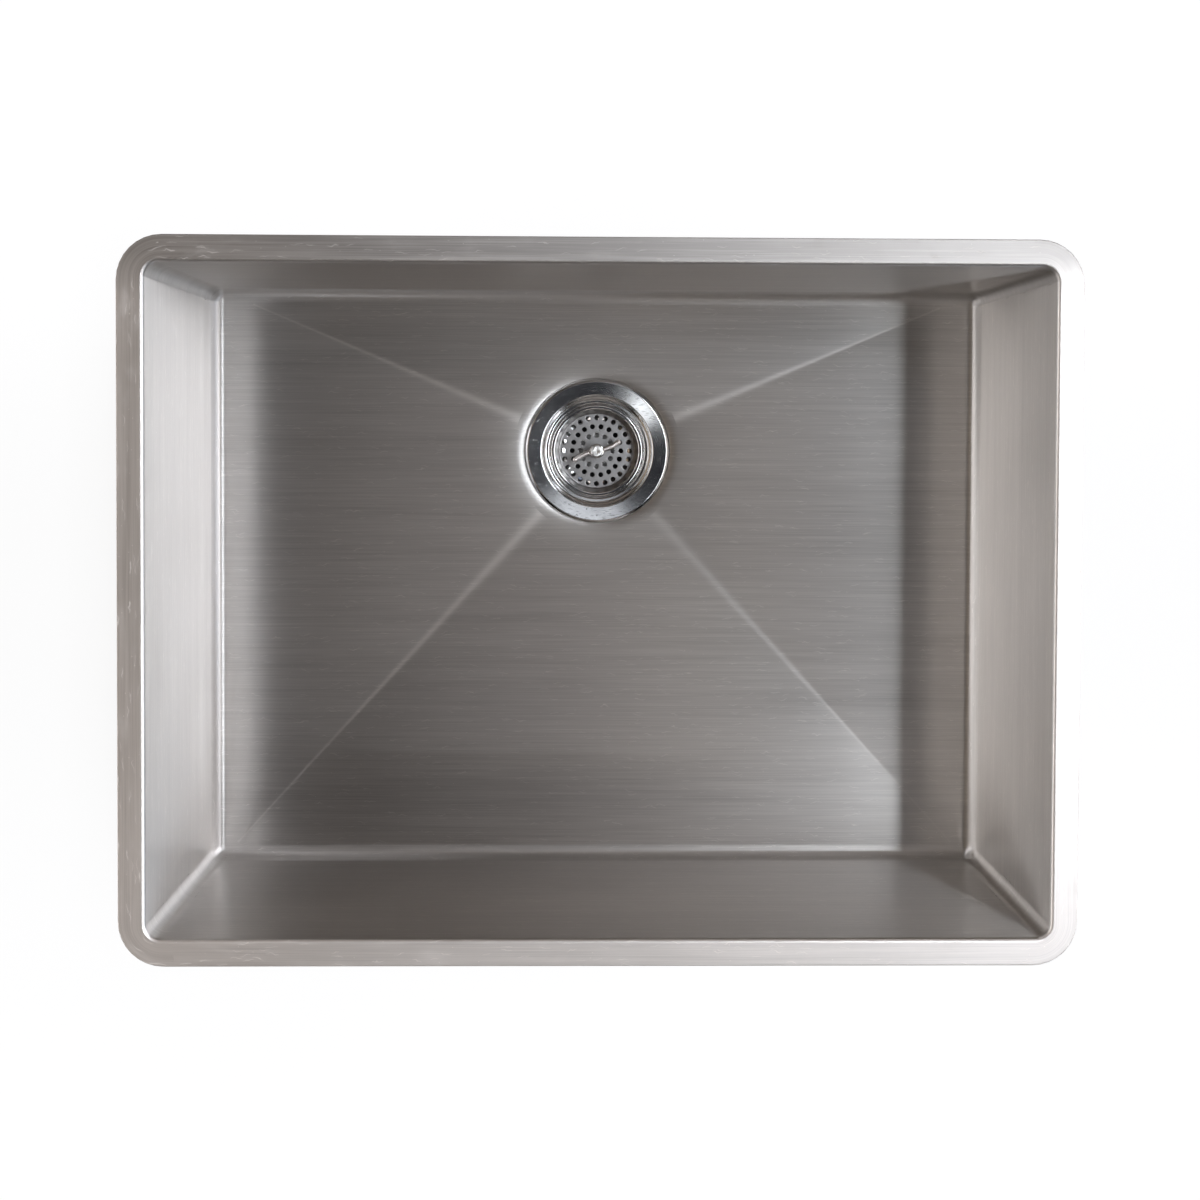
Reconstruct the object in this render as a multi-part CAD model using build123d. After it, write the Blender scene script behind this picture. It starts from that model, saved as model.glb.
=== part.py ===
from build123d import *
from math import atan2, cos, hypot, radians, sin, tan
import os

# Undermount kitchen sink: a one-bowl stainless sink with a flat mounting flange, sound pads on its outside, and
# a two-part waste with a lift-out basket and a sliding plug. Millimetres. +X to the right, +Y to the back wall,
# +Z up. The origin is the middle of the bowl's opening, in the plane of the flange's top face.

# ---- bowl: one welded and pressed sheet ----
BOWL_LENGTH = 600.0  # inside, left wall to right wall
BOWL_WIDTH = 446.0  # inside, front wall to back wall
BOWL_DEPTH = 200.0  # flange's top face to the floor along the walls
SHEET = 1.2
WALL_CORNER_R = 10.0  # inside, between two walls
FLOOR_BEND_R = 10.0  # inside, between a wall and the floor
RIM_BEND_R = 2.5  # seen face, between the flange and a wall
FLANGE_WIDTH = 18.0
FLANGE_CORNER_R = 30.0
FLOOR_FALL = 5.0  # how far the floor falls from the walls to the drain
CREASE_END_INSET = 11.0  # front or back wall to the ends of the floor's creases
FRONT_CREASE_INSET = 17.5  # side wall to a front crease's end
BACK_CREASE_INSET = 30.0  # side wall to a rear crease's end
DRAIN_FROM_BACK = 125.0  # back wall to the drain's axis

# ---- pressed seat for the strainer, and its hole ----
RECESS_CLEARANCE = 0.5  # level part of the seat round the strainer's flange
RECESS_SLOPE = 1.0  # width over height of the sloping edge round the seat
RECESS_DROP = 2.2  # the seat's level part below the lowest point of the floor
FLANGE_PAST_HOLE = 11.5  # how far the strainer's flange reaches past the drain hole
HOLE_CLEARANCE = 0.4  # round the strainer cup in the hole

# ---- sound pads: rubber sheet glued to the outside ----
PAD_THICKNESS = 3.0
PAD_CORNER_R = 8.0
WALL_PAD_MARGIN = 60.0  # pad's end to the bowl's corner
WALL_PAD_TOP = 40.0  # flange to a wall pad
WALL_PAD_FOOT = 40.0  # floor to a wall pad
FLOOR_PAD_MARGIN = 34.0  # pad's edge to the bowl's wall
FLOOR_PAD_GAP = 12.0  # between two pads
PAD_TO_WASTE = 16.0  # between a pad and the waste's flange

# ---- strainer cup: drawn and polished sheet, heights measured down from its flange's top ----
CUP_SHEET = 1.0
CUP_FLANGE_R = 56.5
CUP_LIP = 0.9  # how far the flange's rounded edge turns down
CUP_LIP_WIDTH = 1.8
CUP_DISHING = 0.8  # how far the flange falls inwards
CUP_TAPER = 2.6
LEDGE_DEPTH = 13.0
LEDGE_WIDTH = 3.1
SEAT_STEP = 3.2  # the ledge down to the basket's seat
SEAT_WIDTH = 3.5
CUP_BEND_R = 1.5
MOUTH_BEND_R = 3.5
PLUG_SEAT_WIDTH = 4.0
CUP_FLOOR_FALL = 1.8
NECK_DEPTH = 15.0  # plug's seat down to the grate
SLOT_COUNT = 6
SLOT_INNER_R = 10.5
SLOT_EDGE = 1.0  # the slots' outer ends inside the outlet's bore
SLOT_WEB = 4.0  # steel left between two slots

# ---- seals ----
TOP_SEAL = 0.4  # at its thin inner edge
TOP_SEAL_EDGE = 1.5  # the top seal stays this far inside the flange's edge
GASKET = 3.0
NECK_SEAL = 1.5
NECK_SEAL_WIDTH = 2.5
SEAL_CLEARANCE = 0.4  # round a pipe that passes through a ring or a pocket

# ---- waste body: one moulding under the bowl ----
WASTE_FLANGE = 5.0
WASTE_WALL = 3.0
WASTE_BEND_R = 4.0
COLLAR_WALL = 7.5  # round the bore, above the outlet's thread
COLLAR_RIB = 1.5
COLLAR_RIB_COUNT = 16
WASTE_CLEARANCE = 1.4  # round the cup
OUTLET_THREAD_R = 23.9  # one and a half inch pipe thread over its crests
OUTLET_BORE_R = 19.0
OUTLET_THREAD_LENGTH = 22.0
OUTLET_NECK_LENGTH = 20.0  # neck seal down to the thread
HUB_R = 8.0
HUB_LENGTH = 21.0
HUB_RIB = 3.0
HUB_RIB_COUNT = 3
GUSSET = 2.0
GUSSET_COUNT = 12
GUSSET_HEIGHT = 9.0

# ---- fixing screw and its insert ----
SCREW_R = 4.0
SCREW_CLEARANCE = 0.3
SCREW_HEAD_R = 7.5
SCREW_HEAD = 3.5
SCREW_PAST_INSERT = 1.5
INSERT_R = 6.0
INSERT_LENGTH = 12.0
INSERT_DEPTH = 5.0  # hub's top down to the insert
THREAD_GAP = 0.05  # between a thread and its nut
SLOT_DEPTH = 1.6  # of a driver's recess in a screw's head

# ---- basket: drawn and pierced sheet ----
BASKET_SHEET = 0.8
BASKET_GAP = 1.2  # between the basket's rim and the cup, all round
BASKET_RIM_WIDTH = 3.6
BASKET_RIM_PROUD = 0.6  # the rim's top below the cup's ledge
BASKET_DEPTH = 17.0
BASKET_TAPER = 2.8
BASKET_BEND_R = 1.5
HOLE_R = 2.0
HOLE_COUNTS = [24, 18, 12]  # outer ring, middle ring, inner ring
HOLE_EDGE = 3.7  # outer ring's middle to the edge of the basket's flat
HOLE_TO_BUSH = 7.1  # inner ring's middle to the bush's collar
BASKET_BUSH_HOLE_R = 4.0
REST_GAP = 0.05  # left where one piece rests on another

# ---- bush in the basket, and the ring that grips the spindle ----
BUSH_RUNNING = 0.08
BUSH_COLLAR_R = 5.6
BUSH_COLLAR = 1.0
BUSH_FOOT = 2.8
GRIP_WIRE_R = 0.6
GRIP_GROOVE_GAP = 0.1

# ---- plug: spindle, handle and rubber disc ----
PLUG_TRAVEL = 6.0
PLUG_TRAVEL_GAP = 0.5  # left above the plug at the top of its travel
SPINDLE_R = 3.0
SPINDLE_RUNNING = 0.05
HANDLE_CLEAR = 12.6  # bush up to the handle's eye, with the plug down
EYE_R = 5.8
EYE_HEIGHT = 3.6
ARM_R = 1.7
ARM_TIP_R = 2.0
ARM_REACH = 18.6  # handle's eye to the middle of a tip
ARM_CHORD_ANGLE = 22.4  # eye to tip, from +X
ARM_BEND_ANGLE = 14.0  # between the arm's chord and its ends
CAP_SCREW_R = 2.0
CAP_SCREW_DEPTH = 8.0
CAP_HEAD_R = 5.0
CAP_HEAD = 2.2
CAP_CHAMFER = 1.0
CAP_RECESS = 0.9
STOPPER_OVERLAP = 2.9  # how far the stopper reaches past the neck
STOPPER = 4.0
STOPPER_EDGE = 1.2
TOP_PLATE_R = 15.0
LOWER_PLATE_R = 12.0
PLATE = 1.0
NUT_ACROSS = 10.0
NUT = 4.0
SPINDLE_PAST_NUT = 1.0

# ---- places that follow from the sizes above ----
DRAIN_Y = BOWL_WIDTH / 2 - DRAIN_FROM_BACK
FLOOR_Z = -BOWL_DEPTH
VALLEY_Z = FLOOR_Z - FLOOR_FALL
RECESS_Z = VALLEY_Z - RECESS_DROP
CUP_Z = RECESS_Z + TOP_SEAL + CUP_DISHING + CUP_SHEET
RECESS_R = CUP_FLANGE_R + RECESS_CLEARANCE
DRAIN_HOLE_R = CUP_FLANGE_R - FLANGE_PAST_HOLE
WASTE_FLANGE_R = RECESS_R

# ---- heights down the waste, from the top of the strainer cup's flange ----
CUP_MOUTH_R = DRAIN_HOLE_R - HOLE_CLEARANCE - CUP_SHEET
CUP_WALL_R = CUP_MOUTH_R - CUP_TAPER
STEP_R = CUP_WALL_R - LEDGE_WIDTH
WELL_R = STEP_R - SEAT_WIDTH
NECK_R = OUTLET_BORE_R + NECK_SEAL_WIDTH
STOPPER_R = NECK_R + STOPPER_OVERLAP
BASKET_WALL_R = STEP_R - BASKET_GAP - BASKET_RIM_WIDTH
BASKET_FLAT_R = BASKET_WALL_R - BASKET_TAPER
SEAT_H = -LEDGE_DEPTH - SEAT_STEP
RIM_H = -LEDGE_DEPTH - BASKET_RIM_PROUD
BASKET_FLAT_H = RIM_H - BASKET_DEPTH
BUSH_TOP_H = BASKET_FLAT_H + REST_GAP + BUSH_COLLAR
BUSH_FOOT_H = BASKET_FLAT_H - BASKET_SHEET - REST_GAP - BUSH_FOOT
TOP_PLATE_H = BUSH_FOOT_H - PLUG_TRAVEL_GAP - PLUG_TRAVEL
STOPPER_TOP_H = TOP_PLATE_H - PLATE
STOPPER_FOOT_H = STOPPER_TOP_H - STOPPER
PLUG_SEAT_H = STOPPER_FOOT_H - REST_GAP
GRATE_H = PLUG_SEAT_H - NECK_DEPTH
LOWER_PLATE_FOOT_H = STOPPER_FOOT_H - PLATE
NUT_FOOT_H = LOWER_PLATE_FOOT_H - NUT
EYE_FOOT_H = BUSH_TOP_H + HANDLE_CLEAR
EYE_TOP_H = EYE_FOOT_H + EYE_HEIGHT
BOWL_SEAT_H = RECESS_Z - CUP_Z
BOWL_UNDERSIDE_H = BOWL_SEAT_H - SHEET
WASTE_TOP_H = BOWL_UNDERSIDE_H - GASKET
NECK_UNDERSIDE_H = GRATE_H - CUP_SHEET
HUB_TOP_H = NECK_UNDERSIDE_H - NECK_SEAL
THREAD_TOP_H = HUB_TOP_H - OUTLET_NECK_LENGTH
OUTLET_END_H = THREAD_TOP_H - OUTLET_THREAD_LENGTH
INSERT_TOP_H = HUB_TOP_H - INSERT_DEPTH
SCREW_FOOT_H = INSERT_TOP_H - INSERT_LENGTH - SCREW_PAST_INSERT


# ---- helpers ----
def at_drain(shape):
    """Move a shape made round the Z axis, flange top at zero, to the drain."""
    return Pos(0, DRAIN_Y, CUP_Z) * shape


def turned(points):
    """Solid of revolution about Z of a closed outline of (radius, height) points."""
    outline = Polyline(*points, close=True)
    return revolve(Plane.XZ * make_face(outline), Axis.Z, 360)


def ring(inner_r, outer_r, foot_h, top_h):
    """Flat ring or washer about Z."""
    return turned([(inner_r, foot_h), (outer_r, foot_h), (outer_r, top_h), (inner_r, top_h)])


def disc(radius, foot_h, top_h):
    """Plain cylinder about Z."""
    return Pos(0, 0, foot_h) * extrude(Circle(radius), top_h - foot_h)


def bend_radius(before, corner, after, wanted):
    """The wanted bend radius, or as much of it as the two legs at this corner have room for."""
    leg_in = (corner[0] - before[0], corner[1] - before[1])
    leg_out = (after[0] - corner[0], after[1] - corner[1])
    cross = leg_in[0] * leg_out[1] - leg_in[1] * leg_out[0]
    dot = leg_in[0] * leg_out[0] + leg_in[1] * leg_out[1]
    turn = abs(atan2(cross, dot))
    shorter = min(hypot(*leg_in), hypot(*leg_out))
    return min(wanted, 0.45 * shorter / tan(turn / 2))


def drawn(points, wanted_radii, thickness):
    """Sheet drawn round Z: its seen face runs through (radius, height) points, from the rim to the axis."""
    radii = []
    for i, wanted in enumerate(wanted_radii, start=1):
        radii.append(bend_radius(points[i - 1], points[i], points[i + 1], wanted))
    # traced outwards from the axis, the sheet's thickness lies on the right of its seen face
    seen_face = FilletPolyline(*reversed(points), radius=list(reversed(radii)))
    section = make_face(offset(seen_face, amount=thickness, side=Side.RIGHT, closed=True))
    return revolve(Plane.XZ * section, Axis.Z, 360)


def rounded_block(length, width, corner_r, foot_z, top_z):
    """Upright block with rounded corners, centred on the bowl."""
    outline = Pos(0, 0, foot_z) * RectangleRounded(length, width, corner_r)
    return extrude(outline, top_z - foot_z)


def tub(spread):
    """The bowl's inside shape down to the level floor, spread outwards on every face but the top."""
    block = rounded_block(
        BOWL_LENGTH + 2 * spread,
        BOWL_WIDTH + 2 * spread,
        WALL_CORNER_R + spread,
        FLOOR_Z - spread,
        0,
    )
    return fillet(block.edges().group_by(Axis.Z)[0], FLOOR_BEND_R + spread)


def hopper(lowered):
    """The four falling planes of the floor, as the underside of a block, lowered by a thickness."""
    half_y = BOWL_WIDTH / 2 - CREASE_END_INSET
    front_x = BOWL_LENGTH / 2 - FRONT_CREASE_INSET
    back_x = BOWL_LENGTH / 2 - BACK_CREASE_INSET
    edge_z = FLOOR_Z - lowered
    top_z = FLOOR_Z + SHEET
    corners = [(-front_x, -half_y), (front_x, -half_y), (back_x, half_y), (-back_x, half_y)]
    low = [Vector(x, y, edge_z) for x, y in corners]
    high = [Vector(x, y, top_z) for x, y in corners]
    lowest = Vector(0, DRAIN_Y, edge_z - FLOOR_FALL)
    outlines = [high]
    for i in range(4):
        after = (i + 1) % 4
        outlines.append([low[i], low[after], lowest])
        outlines.append([low[i], low[after], high[after], high[i]])
    faces = [Face(Wire.make_polygon(outline, close=True)) for outline in outlines]
    return Solid(Shell(faces))


def seat_press(spread):
    """The pressed seat round the drain: a level disc with a sloping edge, spread outwards and down."""
    foot_r = RECESS_R + spread * tan(atan2(1, RECESS_SLOPE) / 2)
    foot_z = RECESS_Z - spread
    top_r = foot_r + RECESS_SLOPE * (FLOOR_Z - foot_z)
    return Pos(0, DRAIN_Y, 0) * turned([(0, foot_z), (foot_r, foot_z), (top_r, FLOOR_Z), (0, FLOOR_Z)])


# ---- bowl and its sound pads ----
def make_bowl():
    """Bowl and flange in one sheet, with the creased floor, the strainer's seat and the drain hole."""
    flange = rounded_block(
        BOWL_LENGTH + 2 * FLANGE_WIDTH,
        BOWL_WIDTH + 2 * FLANGE_WIDTH,
        FLANGE_CORNER_R,
        -SHEET,
        0,
    )
    skin = tub(SHEET) + hopper(SHEET) + seat_press(SHEET) + flange
    hollow = tub(0) + hopper(0) + seat_press(0)
    hole = Pos(0, DRAIN_Y, RECESS_Z - 2 * SHEET) * extrude(Circle(DRAIN_HOLE_R), 4 * SHEET)
    bowl = skin - hollow - hole
    top_face = bowl.faces().sort_by(Axis.Z)[-1]
    bowl = fillet(top_face.inner_wires()[0].edges(), RIM_BEND_R)
    underside = [f for f in bowl.faces().filter_by(Plane.XY) if abs(f.center().Z + SHEET) < 0.01][0]
    inside_bend_r = max(RIM_BEND_R - SHEET, SHEET / 4)
    return fillet(underside.inner_wires()[0].edges(), inside_bend_r)


def make_wall_pad(length, turn, wall_distance):
    """Rubber sheet on one wall; turn is the angle from the back wall to this one."""
    height = BOWL_DEPTH - WALL_PAD_TOP - WALL_PAD_FOOT
    flat = RectangleRounded(length - 2 * WALL_PAD_MARGIN, height, PAD_CORNER_R)
    sheet = extrude(flat, PAD_THICKNESS)
    middle_z = FLOOR_Z + WALL_PAD_FOOT + height / 2
    on_back_wall = Pos(0, wall_distance + SHEET, middle_z) * Rot(-90, 0, 0) * sheet
    return Rot(0, 0, turn) * on_back_wall


def make_floor_pad(left, right, front, back):
    """Rubber sheet under the floor that follows its falling planes."""
    width, length = right - left, back - front
    outline = Pos((left + right) / 2, (front + back) / 2, VALLEY_Z - SHEET - 2 * PAD_THICKNESS)
    column = extrude(outline * RectangleRounded(width, length, PAD_CORNER_R), FLOOR_FALL + 2 * PAD_THICKNESS)
    return column & (hopper(SHEET + PAD_THICKNESS) - hopper(SHEET))


def floor_pad_edges():
    """Left, right, front and back edges of the three pads under the floor."""
    side = BOWL_LENGTH / 2 - FLOOR_PAD_MARGIN
    front = FLOOR_PAD_MARGIN - BOWL_WIDTH / 2
    back = BOWL_WIDTH / 2 - FLOOR_PAD_MARGIN
    clear_x = WASTE_FLANGE_R + PAD_TO_WASTE
    clear_y = DRAIN_Y - WASTE_FLANGE_R - PAD_TO_WASTE
    return {
        "sound_pad_floor_left": (-side, -clear_x, front, back),
        "sound_pad_floor_right": (clear_x, side, front, back),
        "sound_pad_floor_front": (FLOOR_PAD_GAP - clear_x, clear_x - FLOOR_PAD_GAP, front, clear_y),
    }


# ---- strainer cup and its seals ----
def make_strainer_cup():
    """Polished flange, tapered cup, basket's ledge and seat, plug's seat, neck and slotted grate."""
    well_foot_h = PLUG_SEAT_H + CUP_FLOOR_FALL
    plug_seat_r = NECK_R + PLUG_SEAT_WIDTH
    points = [
        (CUP_FLANGE_R, -CUP_LIP),
        (CUP_FLANGE_R - CUP_LIP_WIDTH, 0),
        (CUP_MOUTH_R, -CUP_DISHING),
        (CUP_WALL_R, -LEDGE_DEPTH),
        (STEP_R, -LEDGE_DEPTH),
        (STEP_R, SEAT_H),
        (WELL_R, SEAT_H),
        (WELL_R, well_foot_h),
        (plug_seat_r, PLUG_SEAT_H),
        (NECK_R, PLUG_SEAT_H),
        (NECK_R, GRATE_H),
        (0, GRATE_H),
    ]
    tight = CUP_SHEET + 0.2
    bends = [CUP_BEND_R, MOUTH_BEND_R, CUP_BEND_R, tight, tight, tight, CUP_BEND_R, CUP_BEND_R, tight, CUP_BEND_R]
    cup = drawn(points, bends, CUP_SHEET)
    cup -= disc(SCREW_R + SCREW_CLEARANCE, GRATE_H - 2 * CUP_SHEET, GRATE_H + CUP_SHEET)
    slot_outer_r = OUTLET_BORE_R - SLOT_EDGE
    slot_ring = ring(SLOT_INNER_R, slot_outer_r, GRATE_H - 2 * CUP_SHEET, GRATE_H + CUP_SHEET)
    web = Box(2 * NECK_R, SLOT_WEB, 4 * CUP_SHEET)
    for i in range(SLOT_COUNT // 2):
        slot_ring -= Pos(0, 0, GRATE_H) * Rot(0, 0, 180 * i / (SLOT_COUNT // 2)) * web
    return at_drain(cup - slot_ring)


def make_top_seal():
    """Thin ring between the cup's flange and the bowl's seat, with its top sloped like the flange."""
    crown_r = CUP_FLANGE_R - CUP_LIP_WIDTH
    inner_r = CUP_MOUTH_R + MOUTH_BEND_R
    outer_r = crown_r - TOP_SEAL_EDGE
    slope = CUP_DISHING / (crown_r - CUP_MOUTH_R)
    crown_foot_h = -CUP_SHEET - REST_GAP
    return at_drain(turned([
        (inner_r, BOWL_SEAT_H),
        (outer_r, BOWL_SEAT_H),
        (outer_r, crown_foot_h - slope * (crown_r - outer_r)),
        (inner_r, crown_foot_h - slope * (crown_r - inner_r)),
    ]))


def make_body_gasket():
    """Thick ring between the bowl's underside and the waste body."""
    inner_r = CUP_MOUTH_R + CUP_SHEET + SEAL_CLEARANCE
    return at_drain(ring(inner_r, WASTE_FLANGE_R, WASTE_TOP_H, BOWL_UNDERSIDE_H))


def make_neck_seal():
    """Ring that seals the cup's neck on the waste body's shoulder."""
    return at_drain(ring(OUTLET_BORE_R, NECK_R, HUB_TOP_H, NECK_UNDERSIDE_H))


# ---- waste body, screw and insert ----
def make_gusset(well_r, well_top_h):
    """Triangular rib from the waste body's flange down to its wall."""
    flange_foot_h = WASTE_TOP_H - WASTE_FLANGE
    buried_h = WASTE_TOP_H - WASTE_FLANGE / 2
    outer_r = WASTE_FLANGE_R - GUSSET
    wall_r = well_r + WASTE_WALL / 2
    outline = [
        (CUP_MOUTH_R + CUP_SHEET + WASTE_CLEARANCE + WASTE_WALL / 2, buried_h),
        (outer_r, buried_h),
        (outer_r, flange_foot_h),
        (wall_r, well_top_h - GUSSET_HEIGHT),
        (wall_r, well_top_h),
    ]
    return extrude(Plane.XZ * make_face(Polyline(*outline, close=True)), GUSSET / 2, both=True)


def make_waste_body():
    """Moulded funnel with its flange, gussets, threaded outlet and the ribbed hub for the screw."""
    mouth_r = CUP_MOUTH_R + CUP_SHEET + WASTE_CLEARANCE
    well_r = STEP_R + CUP_SHEET + WASTE_CLEARANCE
    well_top_h = SEAT_H - CUP_SHEET - WASTE_CLEARANCE
    well_foot_h = PLUG_SEAT_H - CUP_SHEET
    pocket_r = NECK_R + CUP_SHEET + SEAL_CLEARANCE
    inside = [
        (mouth_r, WASTE_TOP_H),
        (mouth_r, -LEDGE_DEPTH),
        (well_r, well_top_h),
        (well_r, well_foot_h),
        (pocket_r, well_foot_h - WASTE_WALL),
        (pocket_r, HUB_TOP_H),
        (OUTLET_BORE_R, HUB_TOP_H),
        (OUTLET_BORE_R, OUTLET_END_H),
    ]
    bends = [WASTE_BEND_R, WASTE_BEND_R, WASTE_BEND_R, WASTE_BEND_R, 0, WASTE_WALL + NECK_SEAL_WIDTH]
    body = drawn(inside, bends, WASTE_WALL)
    body += ring(mouth_r, WASTE_FLANGE_R, WASTE_TOP_H - WASTE_FLANGE, WASTE_TOP_H)
    collar_r = OUTLET_BORE_R + COLLAR_WALL
    body += ring(OUTLET_BORE_R, collar_r, THREAD_TOP_H, HUB_TOP_H)
    body += ring(OUTLET_BORE_R, OUTLET_THREAD_R, OUTLET_END_H, THREAD_TOP_H)
    collar_height = HUB_TOP_H - THREAD_TOP_H
    collar_rib = Pos(collar_r, 0, THREAD_TOP_H + collar_height / 2) * Box(COLLAR_RIB, COLLAR_RIB, collar_height)
    for i in range(COLLAR_RIB_COUNT):
        body += Rot(0, 0, 360 * i / COLLAR_RIB_COUNT) * collar_rib
    gusset = make_gusset(well_r, well_top_h)
    for i in range(GUSSET_COUNT):
        body += Rot(0, 0, 360 * i / GUSSET_COUNT) * gusset
    hub_foot_h = HUB_TOP_H - HUB_LENGTH
    body += disc(HUB_R, hub_foot_h, HUB_TOP_H)
    rib_top_h = HUB_TOP_H - HUB_RIB
    rib_length = OUTLET_BORE_R + WASTE_WALL / 2
    rib = Box(rib_length, HUB_RIB, rib_top_h - hub_foot_h, align=(Align.MIN, Align.CENTER, Align.MIN))
    for i in range(HUB_RIB_COUNT):
        body += Rot(0, 0, 360 * (i + 0.5) / HUB_RIB_COUNT) * Pos(0, 0, hub_foot_h) * rib
    body -= disc(SCREW_R + SCREW_CLEARANCE, hub_foot_h - HUB_RIB, HUB_TOP_H + HUB_RIB)
    body -= disc(INSERT_R, INSERT_TOP_H - INSERT_LENGTH, INSERT_TOP_H)
    return at_drain(body)


def make_insert():
    """Brass nut moulded into the hub."""
    return at_drain(ring(SCREW_R + THREAD_GAP, INSERT_R, INSERT_TOP_H - INSERT_LENGTH, INSERT_TOP_H))


def make_hub_washer():
    """Washer between the grate and the hub, round the screw."""
    return at_drain(ring(SCREW_R + SCREW_CLEARANCE, HUB_R, HUB_TOP_H, NECK_UNDERSIDE_H))


def make_fixing_screw():
    """Pan head screw that clamps the cup and the waste body on the bowl's floor."""
    head = disc(SCREW_HEAD_R, GRATE_H, GRATE_H + SCREW_HEAD)
    head = fillet(head.edges().group_by(Axis.Z)[-1], SCREW_HEAD / 2)
    shank = disc(SCREW_R, SCREW_FOOT_H, GRATE_H)
    shank = chamfer(shank.edges().group_by(Axis.Z)[0], SCREW_R / 4)
    slot = Pos(0, 0, GRATE_H + SCREW_HEAD) * Box(2 * SCREW_HEAD_R, SLOT_DEPTH, 2 * SLOT_DEPTH)
    return at_drain(head + shank - slot)


# ---- basket and bush ----
def make_basket():
    """Pierced basket with a rolled rim that stands on the cup's seat."""
    rim_r = STEP_R - BASKET_GAP
    points = [
        (rim_r, SEAT_H + REST_GAP),
        (rim_r, RIM_H),
        (BASKET_WALL_R, RIM_H),
        (BASKET_FLAT_R, BASKET_FLAT_H),
        (0, BASKET_FLAT_H),
    ]
    basket = drawn(points, [BASKET_BEND_R, BASKET_BEND_R, BASKET_BEND_R], BASKET_SHEET)
    basket -= disc(BASKET_BUSH_HOLE_R, BASKET_FLAT_H - 2 * BASKET_SHEET, BASKET_FLAT_H + BASKET_SHEET)
    punch = disc(HOLE_R, BASKET_FLAT_H - 2 * BASKET_SHEET, BASKET_FLAT_H + BASKET_SHEET)
    outer_ring_r = BASKET_FLAT_R - HOLE_EDGE
    inner_ring_r = BUSH_COLLAR_R + HOLE_TO_BUSH
    ring_pitch = (outer_ring_r - inner_ring_r) / (len(HOLE_COUNTS) - 1)
    punches = []
    for ring_number, count in enumerate(HOLE_COUNTS):
        ring_r = outer_ring_r - ring_number * ring_pitch
        for i in range(count):
            punches.append(Rot(0, 0, 360 * i / count) * Pos(ring_r, 0, 0) * punch)
    return at_drain(basket - punches)


def make_bush():
    """Nylon bush that snaps into the basket and guides the spindle, with a groove for the grip ring."""
    bore_r = SPINDLE_R + SPINDLE_RUNNING
    barrel_r = BASKET_BUSH_HOLE_R - BUSH_RUNNING
    flat_top_h = BASKET_FLAT_H + REST_GAP
    flat_foot_h = BASKET_FLAT_H - BASKET_SHEET - REST_GAP
    bush = turned([
        (bore_r, BUSH_TOP_H),
        (BUSH_COLLAR_R, BUSH_TOP_H),
        (BUSH_COLLAR_R, flat_top_h),
        (barrel_r, flat_top_h),
        (barrel_r, flat_foot_h),
        (BUSH_COLLAR_R, flat_foot_h),
        (BUSH_COLLAR_R, BUSH_FOOT_H),
        (bore_r, BUSH_FOOT_H),
    ])
    groove_r = SPINDLE_R + SPINDLE_RUNNING + 2 * GRIP_WIRE_R + GRIP_GROOVE_GAP
    half_height = GRIP_WIRE_R + GRIP_GROOVE_GAP
    middle_h = (flat_foot_h + BUSH_FOOT_H) / 2
    return at_drain(bush - disc(groove_r, middle_h - half_height, middle_h + half_height))


def make_grip_ring():
    """Rubber ring in the bush's groove that holds the spindle where it is left."""
    middle_h = (BASKET_FLAT_H - BASKET_SHEET - REST_GAP + BUSH_FOOT_H) / 2
    middle_r = SPINDLE_R + SPINDLE_RUNNING + GRIP_WIRE_R
    return at_drain(Pos(0, 0, middle_h) * Torus(middle_r, GRIP_WIRE_R))


# ---- plug ----
def make_spindle():
    """Round spindle through the bush, with the cap screw's hole in its top."""
    spindle = disc(SPINDLE_R, NUT_FOOT_H - SPINDLE_PAST_NUT, EYE_FOOT_H)
    spindle = chamfer(spindle.edges().group_by(Axis.Z)[0], SPINDLE_R / 5)
    hole_r = CAP_SCREW_R + THREAD_GAP
    hole = disc(hole_r, EYE_FOOT_H - CAP_SCREW_DEPTH - CAP_SCREW_R, EYE_FOOT_H + CAP_SCREW_R)
    return at_drain(spindle - hole)


def make_handle():
    """S-shaped handle: an eye with two curved round arms that end in balls."""
    middle_h = EYE_FOOT_H + EYE_HEIGHT / 2
    eye = disc(EYE_R, EYE_FOOT_H, EYE_TOP_H)
    eye = fillet(eye.edges(), EYE_HEIGHT / 5)
    tip = (ARM_REACH * cos(radians(ARM_CHORD_ANGLE)), ARM_REACH * sin(radians(ARM_CHORD_ANGLE)))
    start_angle = radians(ARM_CHORD_ANGLE - ARM_BEND_ANGLE)
    path = TangentArc((0, 0), tip, tangent=(cos(start_angle), sin(start_angle)))
    section = Plane(origin=path @ 0, z_dir=path % 0) * Circle(ARM_R)
    arm = sweep(section, path=path) + Pos(*tip, 0) * Sphere(ARM_TIP_R)
    handle = eye + Pos(0, 0, middle_h) * arm + Pos(0, 0, middle_h) * Rot(0, 0, 180) * arm
    bore = disc(CAP_SCREW_R + THREAD_GAP, EYE_FOOT_H - ARM_R, EYE_TOP_H + ARM_R)
    return at_drain(handle - bore)


def make_cap_screw():
    """Screw that holds the handle on the spindle, with a cross recess in its bevelled head."""
    head = disc(CAP_HEAD_R, EYE_TOP_H, EYE_TOP_H + CAP_HEAD)
    head = chamfer(head.edges().group_by(Axis.Z)[-1], CAP_CHAMFER)
    shank = disc(CAP_SCREW_R, EYE_FOOT_H - CAP_SCREW_DEPTH, EYE_TOP_H)
    bar = Pos(0, 0, EYE_TOP_H + CAP_HEAD) * Box(CAP_HEAD_R, CAP_RECESS, 2 * CAP_RECESS)
    return at_drain(head + shank - bar - Rot(0, 0, 90) * bar)


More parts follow.
